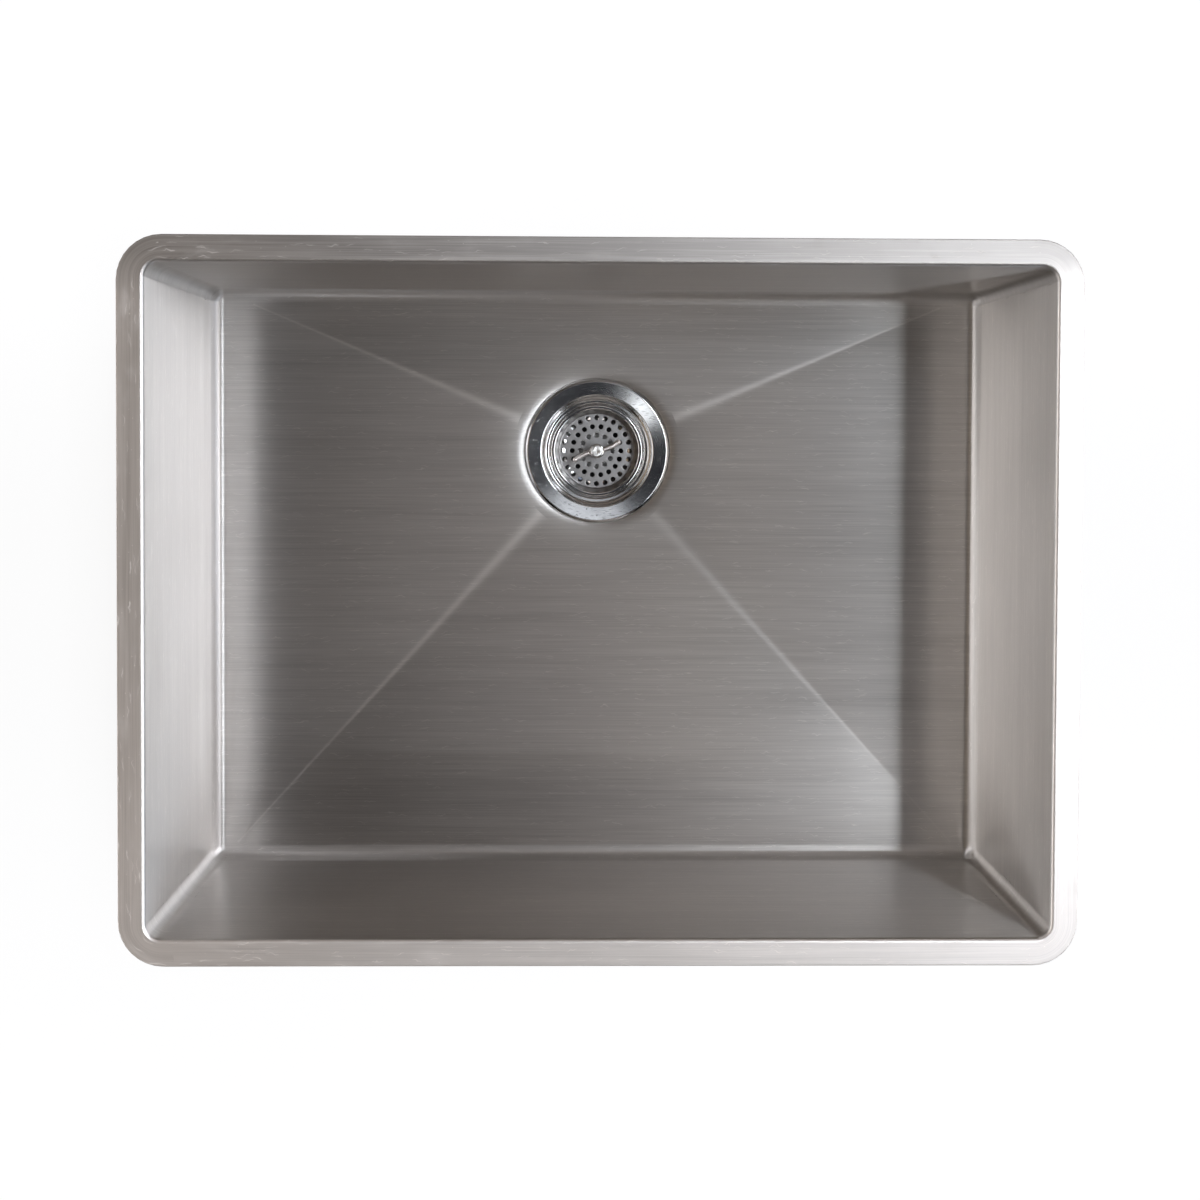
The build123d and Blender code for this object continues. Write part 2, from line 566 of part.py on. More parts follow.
def make_stopper():
    """Rubber disc that closes the neck, with a bevelled upper edge and the spindle's hole."""
    stopper = disc(STOPPER_R, STOPPER_FOOT_H, STOPPER_TOP_H)
    stopper = chamfer(stopper.edges().group_by(Axis.Z)[-1], STOPPER_EDGE)
    return at_drain(stopper - disc(SPINDLE_R + THREAD_GAP, STOPPER_FOOT_H - PLATE, STOPPER_TOP_H + PLATE))


def make_stopper_nut():
    """Hexagon nut under the stopper."""
    blank = extrude(RegularPolygon(NUT_ACROSS / 2, 6, major_radius=False), NUT)
    bore_r = SPINDLE_R + THREAD_GAP
    return at_drain(Pos(0, 0, NUT_FOOT_H) * (blank - disc(bore_r, -NUT, 2 * NUT)))


# ---- write every piece ----
def all_pieces():
    """Every node's name with its solid."""
    pieces = {
        "bowl": make_bowl(),
        "sound_pad_back": make_wall_pad(BOWL_LENGTH, 0, BOWL_WIDTH / 2),
        "sound_pad_left": make_wall_pad(BOWL_WIDTH, 90, BOWL_LENGTH / 2),
        "sound_pad_front": make_wall_pad(BOWL_LENGTH, 180, BOWL_WIDTH / 2),
        "sound_pad_right": make_wall_pad(BOWL_WIDTH, 270, BOWL_LENGTH / 2),
        "strainer_cup": make_strainer_cup(),
        "top_seal": make_top_seal(),
        "body_gasket": make_body_gasket(),
        "neck_seal": make_neck_seal(),
        "waste_body": make_waste_body(),
        "insert_nut": make_insert(),
        "hub_washer": make_hub_washer(),
        "fixing_screw": make_fixing_screw(),
        "basket": make_basket(),
        "spindle_bush": make_bush(),
        "grip_ring": make_grip_ring(),
        "spindle": make_spindle(),
        "handle": make_handle(),
        "cap_screw": make_cap_screw(),
        "stopper": make_stopper(),
        "stopper_top_plate": at_drain(ring(SPINDLE_R + THREAD_GAP, TOP_PLATE_R, STOPPER_TOP_H, TOP_PLATE_H)),
        "stopper_lower_plate": at_drain(
            ring(SPINDLE_R + THREAD_GAP, LOWER_PLATE_R, LOWER_PLATE_FOOT_H, STOPPER_FOOT_H)
        ),
        "stopper_nut": make_stopper_nut(),
    }
    for name, edges in floor_pad_edges().items():
        pieces[name] = make_floor_pad(*edges)
    return pieces


os.makedirs("parts", exist_ok=True)
for name, piece in all_pieces().items():
    export_step(piece, f"parts/{name}.step")
    print(f"{name}: {len(piece.solids())} solid, {piece.volume:.0f} mm3")
print(f"lowest point {CUP_Z + OUTLET_END_H:.2f} mm, plug travel {PLUG_TRAVEL:.2f} mm, drain at y {DRAIN_Y:.2f} mm")
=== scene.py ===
from math import atan2, cos, exp, hypot, pi, radians, sin, tan

import bmesh
import bpy
from mathutils import Matrix, Vector


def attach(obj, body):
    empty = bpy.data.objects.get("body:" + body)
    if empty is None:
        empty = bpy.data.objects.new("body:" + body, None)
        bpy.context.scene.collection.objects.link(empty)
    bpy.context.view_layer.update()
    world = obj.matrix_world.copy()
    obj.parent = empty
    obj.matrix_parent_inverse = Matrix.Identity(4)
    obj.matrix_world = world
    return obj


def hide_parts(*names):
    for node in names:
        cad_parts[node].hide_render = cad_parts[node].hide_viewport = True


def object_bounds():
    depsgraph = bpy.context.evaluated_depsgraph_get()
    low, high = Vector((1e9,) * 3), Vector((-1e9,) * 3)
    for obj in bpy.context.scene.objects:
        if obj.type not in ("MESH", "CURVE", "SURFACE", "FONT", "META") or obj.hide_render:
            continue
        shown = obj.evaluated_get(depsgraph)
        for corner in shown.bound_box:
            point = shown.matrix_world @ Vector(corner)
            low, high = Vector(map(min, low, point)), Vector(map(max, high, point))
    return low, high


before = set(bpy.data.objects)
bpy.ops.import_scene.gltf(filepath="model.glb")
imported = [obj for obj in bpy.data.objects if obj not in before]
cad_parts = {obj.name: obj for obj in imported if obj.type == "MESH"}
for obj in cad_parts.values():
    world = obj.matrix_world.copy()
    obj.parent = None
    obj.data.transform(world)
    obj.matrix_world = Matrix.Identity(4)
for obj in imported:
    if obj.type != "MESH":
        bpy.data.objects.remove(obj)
cad_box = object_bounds()
mm = 0.001

# --------------------------------------------------------------------------------------------------
# The bowl
# One stainless sheet: walls and a creased floor with small bends, a pressed round seat for the waste, and a
# flat flange that is glued and clipped under a worktop. The inside is brushed by hand along each face, the
# outside is left as the mill made it.
HALF_LENGTH = 300 * mm
HALF_WIDTH = 223 * mm
DEPTH = 200 * mm
SHEET = 1.2 * mm
BEND_R = 10 * mm
RIM_R = 2.5 * mm
FLANGE = 18 * mm
FLANGE_CORNER_R = 30 * mm
EDGE_ROUND = 0.25 * mm
CORE_X = HALF_LENGTH - BEND_R
CORE_Y = HALF_WIDTH - BEND_R
OUTER_CORE_X = HALF_LENGTH + FLANGE - FLANGE_CORNER_R
OUTER_CORE_Y = HALF_WIDTH + FLANGE - FLANGE_CORNER_R

DRAIN = Vector((0, 98 * mm, -205 * mm))
SEAT_Z = -207.2 * mm
SEAT_R = 57 * mm
HOLE_R = 45 * mm
DISH_R = 66 * mm
FALL = 5 * mm
CREASE_Y = 212 * mm
FRONT_CREASE_X = 282.5 * mm
BACK_CREASE_X = 270 * mm
CREASE_SHARP = 0.03 * mm
CREASE_SOFT = 0.20 * mm
CREASE_SOFT_REACH = 270 * mm
DRAWN_IN = 0.5 * mm
DRAWN_REACH = 24 * mm
PRESSED = 1.3 * mm
PRESSED_REACH = 4.3 * mm
STEP_SLOPE = 5
STEP_SOFT = 0.3 * mm


def soft_max(a, b, softness):
    """The greater of two heights, rounded off where they are nearly the same."""
    near = max(softness - abs(a - b), 0) / softness
    return max(a, b) + near * near * softness / 4


def soft_min(a, b, softness):
    return -soft_max(-a, -b, softness)


def floor_height(x, y):
    """Height of the creased floor, falling from its edges to the drain."""
    narrowing = (FRONT_CREASE_X - BACK_CREASE_X) / (2 * CREASE_Y)
    meeting_x = FRONT_CREASE_X - narrowing * (CREASE_Y + DRAIN.y)
    edge_x = FRONT_CREASE_X - narrowing * (CREASE_Y + y)
    front = -FALL * (y + CREASE_Y) / (DRAIN.y + CREASE_Y)
    side = -FALL * (edge_x - abs(x)) / meeting_x
    back = -FALL * (CREASE_Y - y) / (CREASE_Y - DRAIN.y)
    nearness = max(0, 1 - hypot(x, y - DRAIN.y) / CREASE_SOFT_REACH)
    softness = CREASE_SHARP + (CREASE_SOFT - CREASE_SHARP) * nearness ** 2
    height = soft_max(soft_max(front, side, softness), back, softness)
    drawn = DRAWN_IN * exp(-max(0, hypot(x, y - DRAIN.y) - DISH_R) / DRAWN_REACH)
    return soft_min(height, 0, 2 * CREASE_SHARP) - drawn - DEPTH


def seat_height(x, y):
    """Height of the floor with the seat pressed into it: a soft dip, then a steep step beside the flange."""
    from_edge = hypot(x, y - DRAIN.y) - SEAT_R
    dip = PRESSED * exp(-max(0, from_edge) / PRESSED_REACH)
    stepped = soft_min(floor_height(x, y) - dip, SEAT_Z + STEP_SLOPE * from_edge, STEP_SOFT)
    return soft_max(stepped, SEAT_Z, STEP_SOFT)


def under_floor(x, y):
    """Height of the sheet's underside away from the seat."""
    return floor_height(x, y) - SHEET


def under_seat(x, y):
    """Height of the sheet's underside round the seat, where the press left a plain slope."""
    slope = SEAT_Z + hypot(x, y - DRAIN.y) - SEAT_R - 0.5 * mm
    return max(min(floor_height(x, y), slope), SEAT_Z) - SHEET


def graded(length, first, largest):
    """Distances along a length that lie close together at both of its ends."""
    half, step, reached = [0.0], first, 0.0
    while reached < length / 2:
        reached += step
        half.append(reached)
        step = min(1.4 * step, largest)
    half = [d * length / 2 / reached for d in half]
    return half + [length - d for d in reversed(half[:-1])]


def spokes():
    """Lines from the drain to the walls: (place on the walls' core, outward direction, place at the dish)."""
    front_angle = atan2(-CREASE_Y - DRAIN.y, FRONT_CREASE_X)
    rear_angle = atan2(CREASE_Y - DRAIN.y, BACK_CREASE_X)
    to_corner = [0, 0.3, 0.55, 0.8]
    arc = [i * pi / 16 for i in range(1, 8)]
    crease_gap, corner_gap, rear_gap = 0.8 * mm, 3 * mm, 1.2 * mm
    widest_gap, widest_rear_gap = 14 * mm, 4 * mm
    marks = []

    def straight(start, end, distances, outward):
        line = Vector(end) - Vector(start)
        for distance in distances:
            marks.append((Vector(start) + line * (distance / line.length), outward))

    def corner(x, y, first_angle):
        for turn in arc:
            marks.append((Vector((x, y)), Vector((cos(first_angle + turn), sin(first_angle + turn)))))

    front, right, back, left = Vector((0, -1)), Vector((1, 0)), Vector((0, 1)), Vector((-1, 0))
    crease_x, rear_x = FRONT_CREASE_X, BACK_CREASE_X
    sides = []

    def side_done(first_angle, last_angle):
        sides.append((list(marks), first_angle, last_angle))
        marks.clear()

    along_front = graded(2 * crease_x, crease_gap, widest_gap)[:-1]
    along_side = graded(2 * CORE_Y, corner_gap, widest_gap)
    along_back = graded(2 * rear_x, crease_gap, widest_gap)[:-1]
    front_end, rear_end = CORE_X - crease_x, CORE_X - rear_x
    along_rear_end = graded(rear_end, rear_gap, widest_rear_gap)

    straight((-crease_x, -CORE_Y), (crease_x, -CORE_Y), along_front, front)
    side_done(-pi - front_angle, front_angle)
    straight((crease_x, -CORE_Y), (CORE_X, -CORE_Y), [front_end * t for t in to_corner] + [front_end], front)
    corner(CORE_X, -CORE_Y, -pi / 2)
    straight((CORE_X, -CORE_Y), (CORE_X, CORE_Y), along_side, right)
    corner(CORE_X, CORE_Y, 0)
    straight((CORE_X, CORE_Y), (rear_x, CORE_Y), along_rear_end[:-1], back)
    side_done(front_angle, rear_angle)
    straight((rear_x, CORE_Y), (-rear_x, CORE_Y), along_back, back)
    side_done(rear_angle, pi - rear_angle)
    straight((-rear_x, CORE_Y), (-CORE_X, CORE_Y), along_rear_end, back)
    corner(-CORE_X, CORE_Y, pi / 2)
    straight((-CORE_X, CORE_Y), (-CORE_X, -CORE_Y), along_side, left)
    corner(-CORE_X, -CORE_Y, pi)
    from_corner = [front_end * (1 - t) for t in [1] + to_corner[:0:-1]]
    straight((-CORE_X, -CORE_Y), (-crease_x, -CORE_Y), from_corner, front)
    side_done(pi - rear_angle, pi - front_angle)

    lines = []
    for side_marks, first_angle, last_angle in sides:
        length = [0.0]
        closing = side_marks[1:] + [side_marks[-1]]
        for (place, _), (following, _) in zip(side_marks, closing):
            length.append(length[-1] + (following - place).length)
        whole = length[-1] + 1 * mm
        for (place, outward), reached in zip(side_marks, length):
            angle = first_angle + (last_angle - first_angle) * reached / whole
            lines.append((place, outward, Vector((cos(angle), sin(angle)))))
    return lines


def ripple(u, v, height):
    """The slight unevenness of a hand-finished sheet: three waves of different length and direction."""
    crossed = sin(u * 23 + 1.3) * sin(v * 31 + 0.4)
    return height * (crossed + 0.6 * sin(u * 41 + v * 17) + 0.4 * sin(u * 67 - v * 53 + 2)) / 2


def bowl_loops(lines):
    """Closed loops of points round the sheet's section, each with the finish of the strip that follows it."""
    loops = []
    core = [Vector((p.x, p.y)) for p, _, _ in lines]
    outward = [n for _, n, _ in lines]
    perimeter = [0.0]
    for j in range(len(lines)):
        near, far = core[j - 1] + outward[j - 1] * BEND_R, core[j] + outward[j] * BEND_R
        perimeter.append(perimeter[-1] + (far - near).length)
    perimeter = perimeter[1:]

    def add(finish, place):
        loops.append((finish, [place(j) for j in range(len(lines))]))

    def flange_place(t, z):
        def place(j):
            inner = core[j] + outward[j] * (BEND_R + RIM_R)
            outer_core = Vector((core[j].x * OUTER_CORE_X / CORE_X, core[j].y * OUTER_CORE_Y / CORE_Y))
            point = inner.lerp(outer_core + outward[j] * FLANGE_CORNER_R, t)
            return (point.x, point.y, z)
        return place

    def wall_place(spread, z, uneven=0.0):
        def place(j):
            point = core[j] + outward[j] * (spread + ripple(perimeter[j], z, uneven))
            return (point.x, point.y, z)
        return place

    def floor_place(t, height):
        def place(j):
            dish = Vector((DRAIN.x, DRAIN.y)) + lines[j][2] * DISH_R
            point = core[j].lerp(dish, t)
            return (point.x, point.y, height(point.x, point.y))
        return place

    def dish_place(radius, height):
        def place(j):
            point = Vector((DRAIN.x, DRAIN.y)) + lines[j][2] * radius
            return (point.x, point.y, height(point.x, point.y) if callable(height) else height)
        return place

    flat = FLANGE - RIM_R
    add("flange", flange_place(1, EDGE_ROUND - SHEET))
    add("flange", flange_place(1, -EDGE_ROUND))
    add("flange", flange_place(1 - 0.3 * EDGE_ROUND / flat, -0.3 * EDGE_ROUND))
    for t in (1 - EDGE_ROUND / flat, 1 - 3 * EDGE_ROUND / flat, 0.8, 0.6, 0.4, 0.2, 0.03):
        add("flange", flange_place(t, 0))
    for i in range(8):
        turn = i * pi / 16
        spread = BEND_R + RIM_R - RIM_R * sin(turn)
        add("flange" if i < 4 else "wall", wall_place(spread, RIM_R * (cos(turn) - 1)))
    for z in [-2.5, -3.2] + list(range(-10, -190, -12)) + [-189.3]:
        add("wall", wall_place(BEND_R, z * mm, 0.05 * mm if -185 < z < -6 else 0))
    for i in range(16):
        turn = i * pi / 32
        add("wall" if i < 11 else "floor", wall_place(BEND_R * cos(turn), BEND_R * (1 - sin(turn)) - DEPTH))
    spread_out = [0, 0.002, 0.006, 0.012, 0.02, 0.03, 0.04, 0.05, 0.065, 0.08, 0.1, 0.125, 0.15, 0.18]
    spread_out += [0.22 + 0.04 * i for i in range(18)] + [0.93, 0.96, 0.985]
    for t in spread_out:
        add("floor", floor_place(t, seat_height))
    radius, step_top, step_foot = DISH_R, SEAT_R + 1.2 * mm, SEAT_R - 0.3 * mm
    while radius > step_foot:
        add("floor", dish_place(radius, seat_height))
        radius -= (0.6 if radius > step_top else 0.15) * mm
    add("floor", dish_place(50 * mm, seat_height))
    add("floor", dish_place(HOLE_R + EDGE_ROUND, SEAT_Z))
    add("floor", dish_place(HOLE_R, SEAT_Z - EDGE_ROUND))
    add("outside", dish_place(HOLE_R, SEAT_Z - SHEET + EDGE_ROUND))
    add("outside", dish_place(HOLE_R + EDGE_ROUND, SEAT_Z - SHEET))
    add("outside", dish_place(SEAT_R, SEAT_Z - SHEET))
    for radius in (57.5, 58, 59, 60, 61, 62, 63, 64.5, 66):
        add("outside", dish_place(radius * mm, under_seat))
    for t in (0.96, 0.85, 0.7, 0.55, 0.4, 0.25, 0.15, 0.1, 0.065, 0.04, 0.02, 0.006):
        add("outside", floor_place(t, under_floor))
    outer_r = BEND_R + SHEET
    for i in range(8, -1, -1):
        turn = i * pi / 16
        add("outside", wall_place(outer_r * cos(turn), BEND_R - outer_r * sin(turn) - DEPTH))
    for z in (-189, -150, -110, -70, -30, -4):
        add("outside", wall_place(outer_r, z * mm))
    inner_rim = RIM_R - SHEET
    for i in range(5):
        turn = i * pi / 8
        add("outside", wall_place(BEND_R + RIM_R - inner_rim * cos(turn), inner_rim * sin(turn) - RIM_R))
    for t in (0.1, 0.5, 1 - 3 * EDGE_ROUND / flat, 1 - EDGE_ROUND / flat):
        add("outside", flange_place(t, -SHEET))
    add("outside", flange_place(1 - 0.3 * EDGE_ROUND / flat, 0.3 * EDGE_ROUND - SHEET))
    return loops, perimeter


def finished(name, shape, materials):
    """A closed mesh becomes a piece at the origin, shaded smooth."""
    mesh = bpy.data.meshes.new(name)
    shape.to_mesh(mesh)
    shape.free()
    for polygon in mesh.polygons:
        polygon.use_smooth = True
    for material in materials:
        mesh.materials.append(material)
    piece = bpy.data.objects.new(name, mesh)
    bpy.context.scene.collection.objects.link(piece)
    return piece


def make_bowl(materials):
    """The bowl's sheet, with the length along each face and across it in its UV map."""
    lines = spokes()
    loops, perimeter = bowl_loops(lines)
    shape = bmesh.new()
    grain = shape.loops.layers.uv.new("grain")
    points = [[shape.verts.new(p) for p in loop] for _, loop in loops]
    across, reached = [], 0.0
    for i, (_, loop) in enumerate(loops):
        across.append(reached)
        following = loops[(i + 1) % len(loops)][1]
        reached += (Vector(following[0]) - Vector(loop[0])).length
    order = ["floor", "wall", "flange", "outside"]
    count = len(lines)
    whole = perimeter[-1]
    for i, (finish, _) in enumerate(loops):
        after = (i + 1) % len(loops)
        across_after = across[after] if after else reached
        for j in range(count):
            beside = (j + 1) % count
            corners = [(i, j), (i, beside), (after, beside), (after, j)]
            face = shape.faces.new([points[a][b] for a, b in corners])
            face.material_index = order.index(finish)
            along = perimeter[j]
            along_beside = perimeter[beside] if beside else whole + perimeter[0]
            marks = [(along, across[i]), (along_beside, across[i])]
            marks += [(along_beside, across_after), (along, across_after)]
            for loop, mark in zip(face.loops, marks):
                loop[grain].uv = mark if finish != "floor" else loop.vert.co.xy
    bmesh.ops.remove_doubles(shape, verts=shape.verts, dist=1e-7)
    bmesh.ops.dissolve_degenerate(shape, edges=shape.edges, dist=1e-8)
    return finished("bowl_sheet", shape, materials)


class Value:
    """A number or colour that varies over a surface: Python's operators add the Math nodes it needs."""

    def __init__(self, finish, socket):
        self.finish = finish
        self.socket = socket

    def __add__(self, other):
        return self.finish.math("ADD", self, other)

    def __sub__(self, other):
        return self.finish.math("SUBTRACT", self, other)

    def __mul__(self, other):
        return self.finish.math("MULTIPLY", self, other)

    def __truediv__(self, other):
        return self.finish.math("DIVIDE", self, other)

    def __rsub__(self, other):
        return self.finish.math("SUBTRACT", other, self)

    def __rtruediv__(self, other):
        return self.finish.math("DIVIDE", other, self)

    __radd__ = __add__
    __rmul__ = __mul__

    def below(self, limit):
        return self.finish.math("LESS_THAN", self, limit)

    def above(self, limit):
        return self.finish.math("GREATER_THAN", self, limit)

    def rising(self, width):
        """0 where the value is below nought, rising to 1 at this width."""
        clamped = {"operation": "DIVIDE", "use_clamp": True}
        return self.finish.node("ShaderNodeMath", clamped, {0: self, 1: width})

    def part(self, name):
        """Another output of the node that this value comes from."""
        return Value(self.finish, self.socket.node.outputs[name])


class Nodes:
    """A shader's node tree and the ways to add to it."""

    def __init__(self, tree):
        self.tree = tree

    def node(self, kind, settings=None, inputs=None, output=0):
        """Adds a node: its settings first, then the values or links of its sockets. Gives one output back."""
        node = self.tree.nodes.new(kind)
        for name, value in (settings or {}).items():
            setattr(node, name, value)
        for name, value in (inputs or {}).items():
            if isinstance(value, Value):
                self.tree.links.new(value.socket, node.inputs[name])
            else:
                node.inputs[name].default_value = value
        return Value(self, node.outputs[output])

    def math(self, operation, *values):
        """A Math node on values or numbers."""
        return self.node("ShaderNodeMath", {"operation": operation}, dict(enumerate(values)))

    def mixed(self, factor, a, b):
        """A colour between two. The Mix node's colour sockets are its numbers 6 and 7, and its output 2."""
        a, b = [(*colour, 1) if isinstance(colour, tuple) else colour for colour in (a, b)]
        return self.node("ShaderNodeMix", {"data_type": "RGBA"}, {"Factor": factor, 6: a, 7: b}, output=2)

    def axes(self, place):
        """The three parts of a place."""
        parts = self.node("ShaderNodeSeparateXYZ", None, {0: place})
        return parts, parts.part("Y"), parts.part("Z")

    def noise(self, place, detail=2.0, roughness=0.5, dimensions="3D"):
        inputs = {"Vector": place, "Scale": 1.0, "Detail": detail, "Roughness": roughness}
        return self.node("ShaderNodeTexNoise", {"noise_dimensions": dimensions}, inputs)

    def spots(self, place, dimensions="3D"):
        """Distance to the nearest of many scattered points."""
        settings = {"voronoi_dimensions": dimensions}
        return self.node("ShaderNodeTexVoronoi", settings, {"Vector": place, "Scale": 1.0})

    def mapped(self, place, scale, turn=0.0, shift=(0, 0, 0)):
        inputs = {"Vector": place, "Scale": scale, "Rotation": (0, 0, turn), "Location": shift}
        return self.node("ShaderNodeMapping", None, inputs)

    def uv(self):
        return self.node("ShaderNodeUVMap", {"uv_map": "grain"})

    def place(self):
        return self.node("ShaderNodeTexCoord", None, None, "Object")


class Finish(Nodes):
    """One material. Its fixed numbers stand on the shader's own sockets; what varies is linked to them."""

    def __init__(self, name, **fixed):
        self.material = bpy.data.materials.new(name)
        self.material.use_nodes = True
        super().__init__(self.material.node_tree)
        self.shader = self.tree.nodes["Principled BSDF"]
        for socket, value in fixed.items():
            self.shader.inputs[socket.replace("_", " ")].default_value = value

    def vary(self, socket, value):
        self.tree.links.new(value.socket, self.shader.inputs[socket])

    def bump(self, height, distance):
        """Relief: the height runs from 0 to 1 over this distance in metres."""
        relief = self.node("ShaderNodeBump", None, {"Height": height, "Distance": distance, "Strength": 1.0})
        self.vary("Normal", relief)

    def scattered(self, share, colour, **fixed):
        """A share of the light is scattered by a second, rougher metal surface."""
        rough = self.node("ShaderNodeBsdfPrincipled", None, {"Base Color": colour, "Metallic": 1.0, **fixed})
        smooth = Value(self, self.shader.outputs[0])
        both = self.node("ShaderNodeMixShader", None, {0: share, 1: smooth, 2: rough})
        output = self.tree.nodes["Material Output"]
        self.tree.links.new(both.socket, output.inputs["Surface"])


def hairs(finish, place, length, width, turn, share, size=0.16):
    """Sparse short scratches: one in each long thin cell, of which only a share shows."""
    cells = finish.mapped(place, (1 / length, 1 / width, 1), turn, (turn, 3 * turn, 0))
    spot = finish.spots(cells, "2D")
    kept = finish.node("ShaderNodeSeparateColor", None, {0: spot.part("Color")})
    return spot.below(size) * kept.below(share)


def brushed_steel(name, colour, roughness, anisotropy, turn, marks=None, scatter=0.0, contrast=1.0):
    """Stainless steel brushed along the UV map's first direction, with clouding, scratches and specks."""
    steel = Finish(name, Metallic=1.0, Anisotropic=anisotropy, Anisotropic_Rotation=turn)
    grain = steel.uv()
    fine = steel.noise(steel.mapped(grain, (14, 1300, 1)), 2, 0.6, "2D")
    strand = steel.noise(steel.mapped(grain, (6, 380, 1)), 2, 0.6, "2D")
    band = steel.noise(steel.mapped(grain, (2, 70, 1)), 1, 0.5, "2D")
    cloud = steel.noise(steel.mapped(grain, (9, 14, 1)), 3, 0.6, "2D")
    bend = steel.noise(steel.mapped(grain, (130, 130, 1)), dimensions="2D").part("Color")
    shift = steel.node("ShaderNodeVectorMath", {"operation": "SCALE"}, {0: bend, "Scale": 5 * mm})
    curled = steel.node("ShaderNodeVectorMath", {"operation": "ADD"}, {0: grain, 1: shift})
    scratch = hairs(steel, curled, 26 * mm, 1.5 * mm, 0.5, 0.12)
    scratch += hairs(steel, curled, 22 * mm, 1.3 * mm, -0.9, 0.10)
    speck = hairs(steel, grain, 5 * mm, 4 * mm, 0.3, 0.05, 0.07)
    lines = ((fine - 0.5) * 0.30 + (strand - 0.5) * 0.22 + (band - 0.5) * 0.16) * contrast
    # The marks' shade is painted light: painted shade and painted highlights added to the tone.
    worn, ground, shade = marks(steel, grain) if marks else (0.0, 0.0, 0.0)
    tone = 1 + lines + (cloud - 0.5) * 0.07 + scratch * 0.2 + speck * 0.3 + worn * 0.12 + shade
    dark = tuple(0.5 * c for c in colour)
    light = tuple(min(1, 1.5 * c) for c in colour)
    tint = steel.mixed(tone - 0.5, dark, light)
    steel.vary("Base Color", tint)
    rough = roughness + lines * 0.16 + (cloud - 0.5) * 0.04 + scratch * 0.14 + speck * 0.2 + worn * 0.16
    steel.vary("Roughness", rough)
    steel.bump(fine * 0.6 + strand * 0.4 + scratch * 0.3, 0.004 * mm)
    if marks:
        share = scatter + worn * 0.35 + ground * 0.75
        steel.scattered(share, tint, Roughness=0.48, Anisotropic=0.815, **{"Anisotropic Rotation": turn})
    return steel.material


def floor_marks(steel, grain):
    """How the floor's brushing is broken up: rubbed creases, a ring round the seat, ground lower bends, a
    painted highlight along the creases, strongest at the left and back, a painted highlight patch at the
    front right and painted shade beside it."""
    x, y, _ = steel.axes(grain)
    reach_x = steel.math("ABSOLUTE", x)
    worn = 0.0
    for start_x, start_y in ((FRONT_CREASE_X, -CREASE_Y), (BACK_CREASE_X, CREASE_Y)):
        run_x, run_y = DRAIN.x - start_x, DRAIN.y - start_y
        length = hypot(run_x, run_y)
        ahead_x, ahead_y = run_x / length, run_y / length
        along = ((reach_x - start_x) * ahead_x + (y - start_y) * ahead_y) / length
        beside = (reach_x - start_x) * ahead_y - (y - start_y) * ahead_x
        share = beside / (0.7 * mm + along * along * (6 * mm))
        worn = steel.math("EXPONENT", share * share * -1.0) * (0.3 + along * 0.6) * along.above(0.004) + worn
    from_drain = steel.math("SQRT", x * x + (y - DRAIN.y) * (y - DRAIN.y))
    worn = worn * from_drain.above(DISH_R)
    halo = steel.math("MINIMUM", steel.math("EXPONENT", (from_drain - DISH_R) / (-17 * mm)), 1.0)

    bend_width = 2 * mm
    past_core = steel.math("MAXIMUM", reach_x - CORE_X, y * -1 - CORE_Y)
    rear_bend = (y - CORE_Y + bend_width / 2).rising(bend_width)
    ground = steel.math("MAXIMUM", (past_core + bend_width / 2).rising(bend_width), rear_bend * 0.5)

    # A painted highlight along the creases, strongest towards the left and the back.
    to_left, to_back = (x * -1 + 30 * mm).rising(60 * mm), (y - DRAIN.y).rising(30 * mm)
    painted_crease_highlight_reach = steel.math("MAXIMUM", to_left, to_back)
    # A painted highlight at the floor's front right.
    aside, away = (x - 200 * mm) / (110 * mm), (y + 165 * mm) / (60 * mm)
    painted_highlight_patch = steel.math("EXPONENT", (aside * aside + away * away) * -1.0)
    # Painted shade over the floor's front left.
    painted_shade_patch = (y * -1 - 110 * mm).rising(60 * mm) * (130 * mm - x).rising(200 * mm)
    return worn + halo * 0.8, ground, worn * (0.06 + painted_crease_highlight_reach * 0.34) + painted_highlight_patch * 0.26 - painted_shade_patch * 0.1


def wall_marks(steel, grain):
    """Dark hairlines where the brushing stops at the upright corners, ground corners and lower bends, and
    painted shade in the back upright corners.
    """
    x, y, z = steel.axes(steel.place())
    past_x = steel.math("ABSOLUTE", x) - CORE_X
    past_y = steel.math("ABSOLUTE", y) - CORE_Y
    half_line, on_wall = 0.35 * mm, BEND_R - 4 * mm
    line_y = steel.math("ABSOLUTE", past_y).below(half_line) * past_x.above(on_wall)
    line_x = steel.math("ABSOLUTE", past_x).below(half_line) * past_y.above(on_wall)
    corner = past_x.rising(7 * mm) * past_y.rising(1 * mm)
    bend = (BEND_R - DEPTH - z).rising(2 * mm)
    hairline = (line_y + line_x) * z.below(-5 * mm)
    # Painted shade: the back upright corners are darkened in the tone.
    return hairline * -0.4, steel.math("MAXIMUM", corner, bend), corner * y.above(0) * -0.34


def flange_marks(steel, grain):
    """Dull stains on the flange, with painted shade along its back and a painted highlight towards its front
    and left.
    """
    stain = steel.noise(steel.mapped(grain, (30, 60, 1)), 4, 0.65, "2D")
    x, y, _ = steel.axes(steel.place())
    # Painted shade along the back of the flange and a painted highlight towards its front and left.
    back = (y - 200 * mm).rising(30 * mm)
    front = (y * -1 + 20 * mm).rising(180 * mm)
    left = (x * -1 + 50 * mm).rising(300 * mm)
    return (stain - 0.56).rising(0.2) * 0.4, 0.0, back * (left * 0.12 - 0.5) + front * (0.1 + left * 0.2)


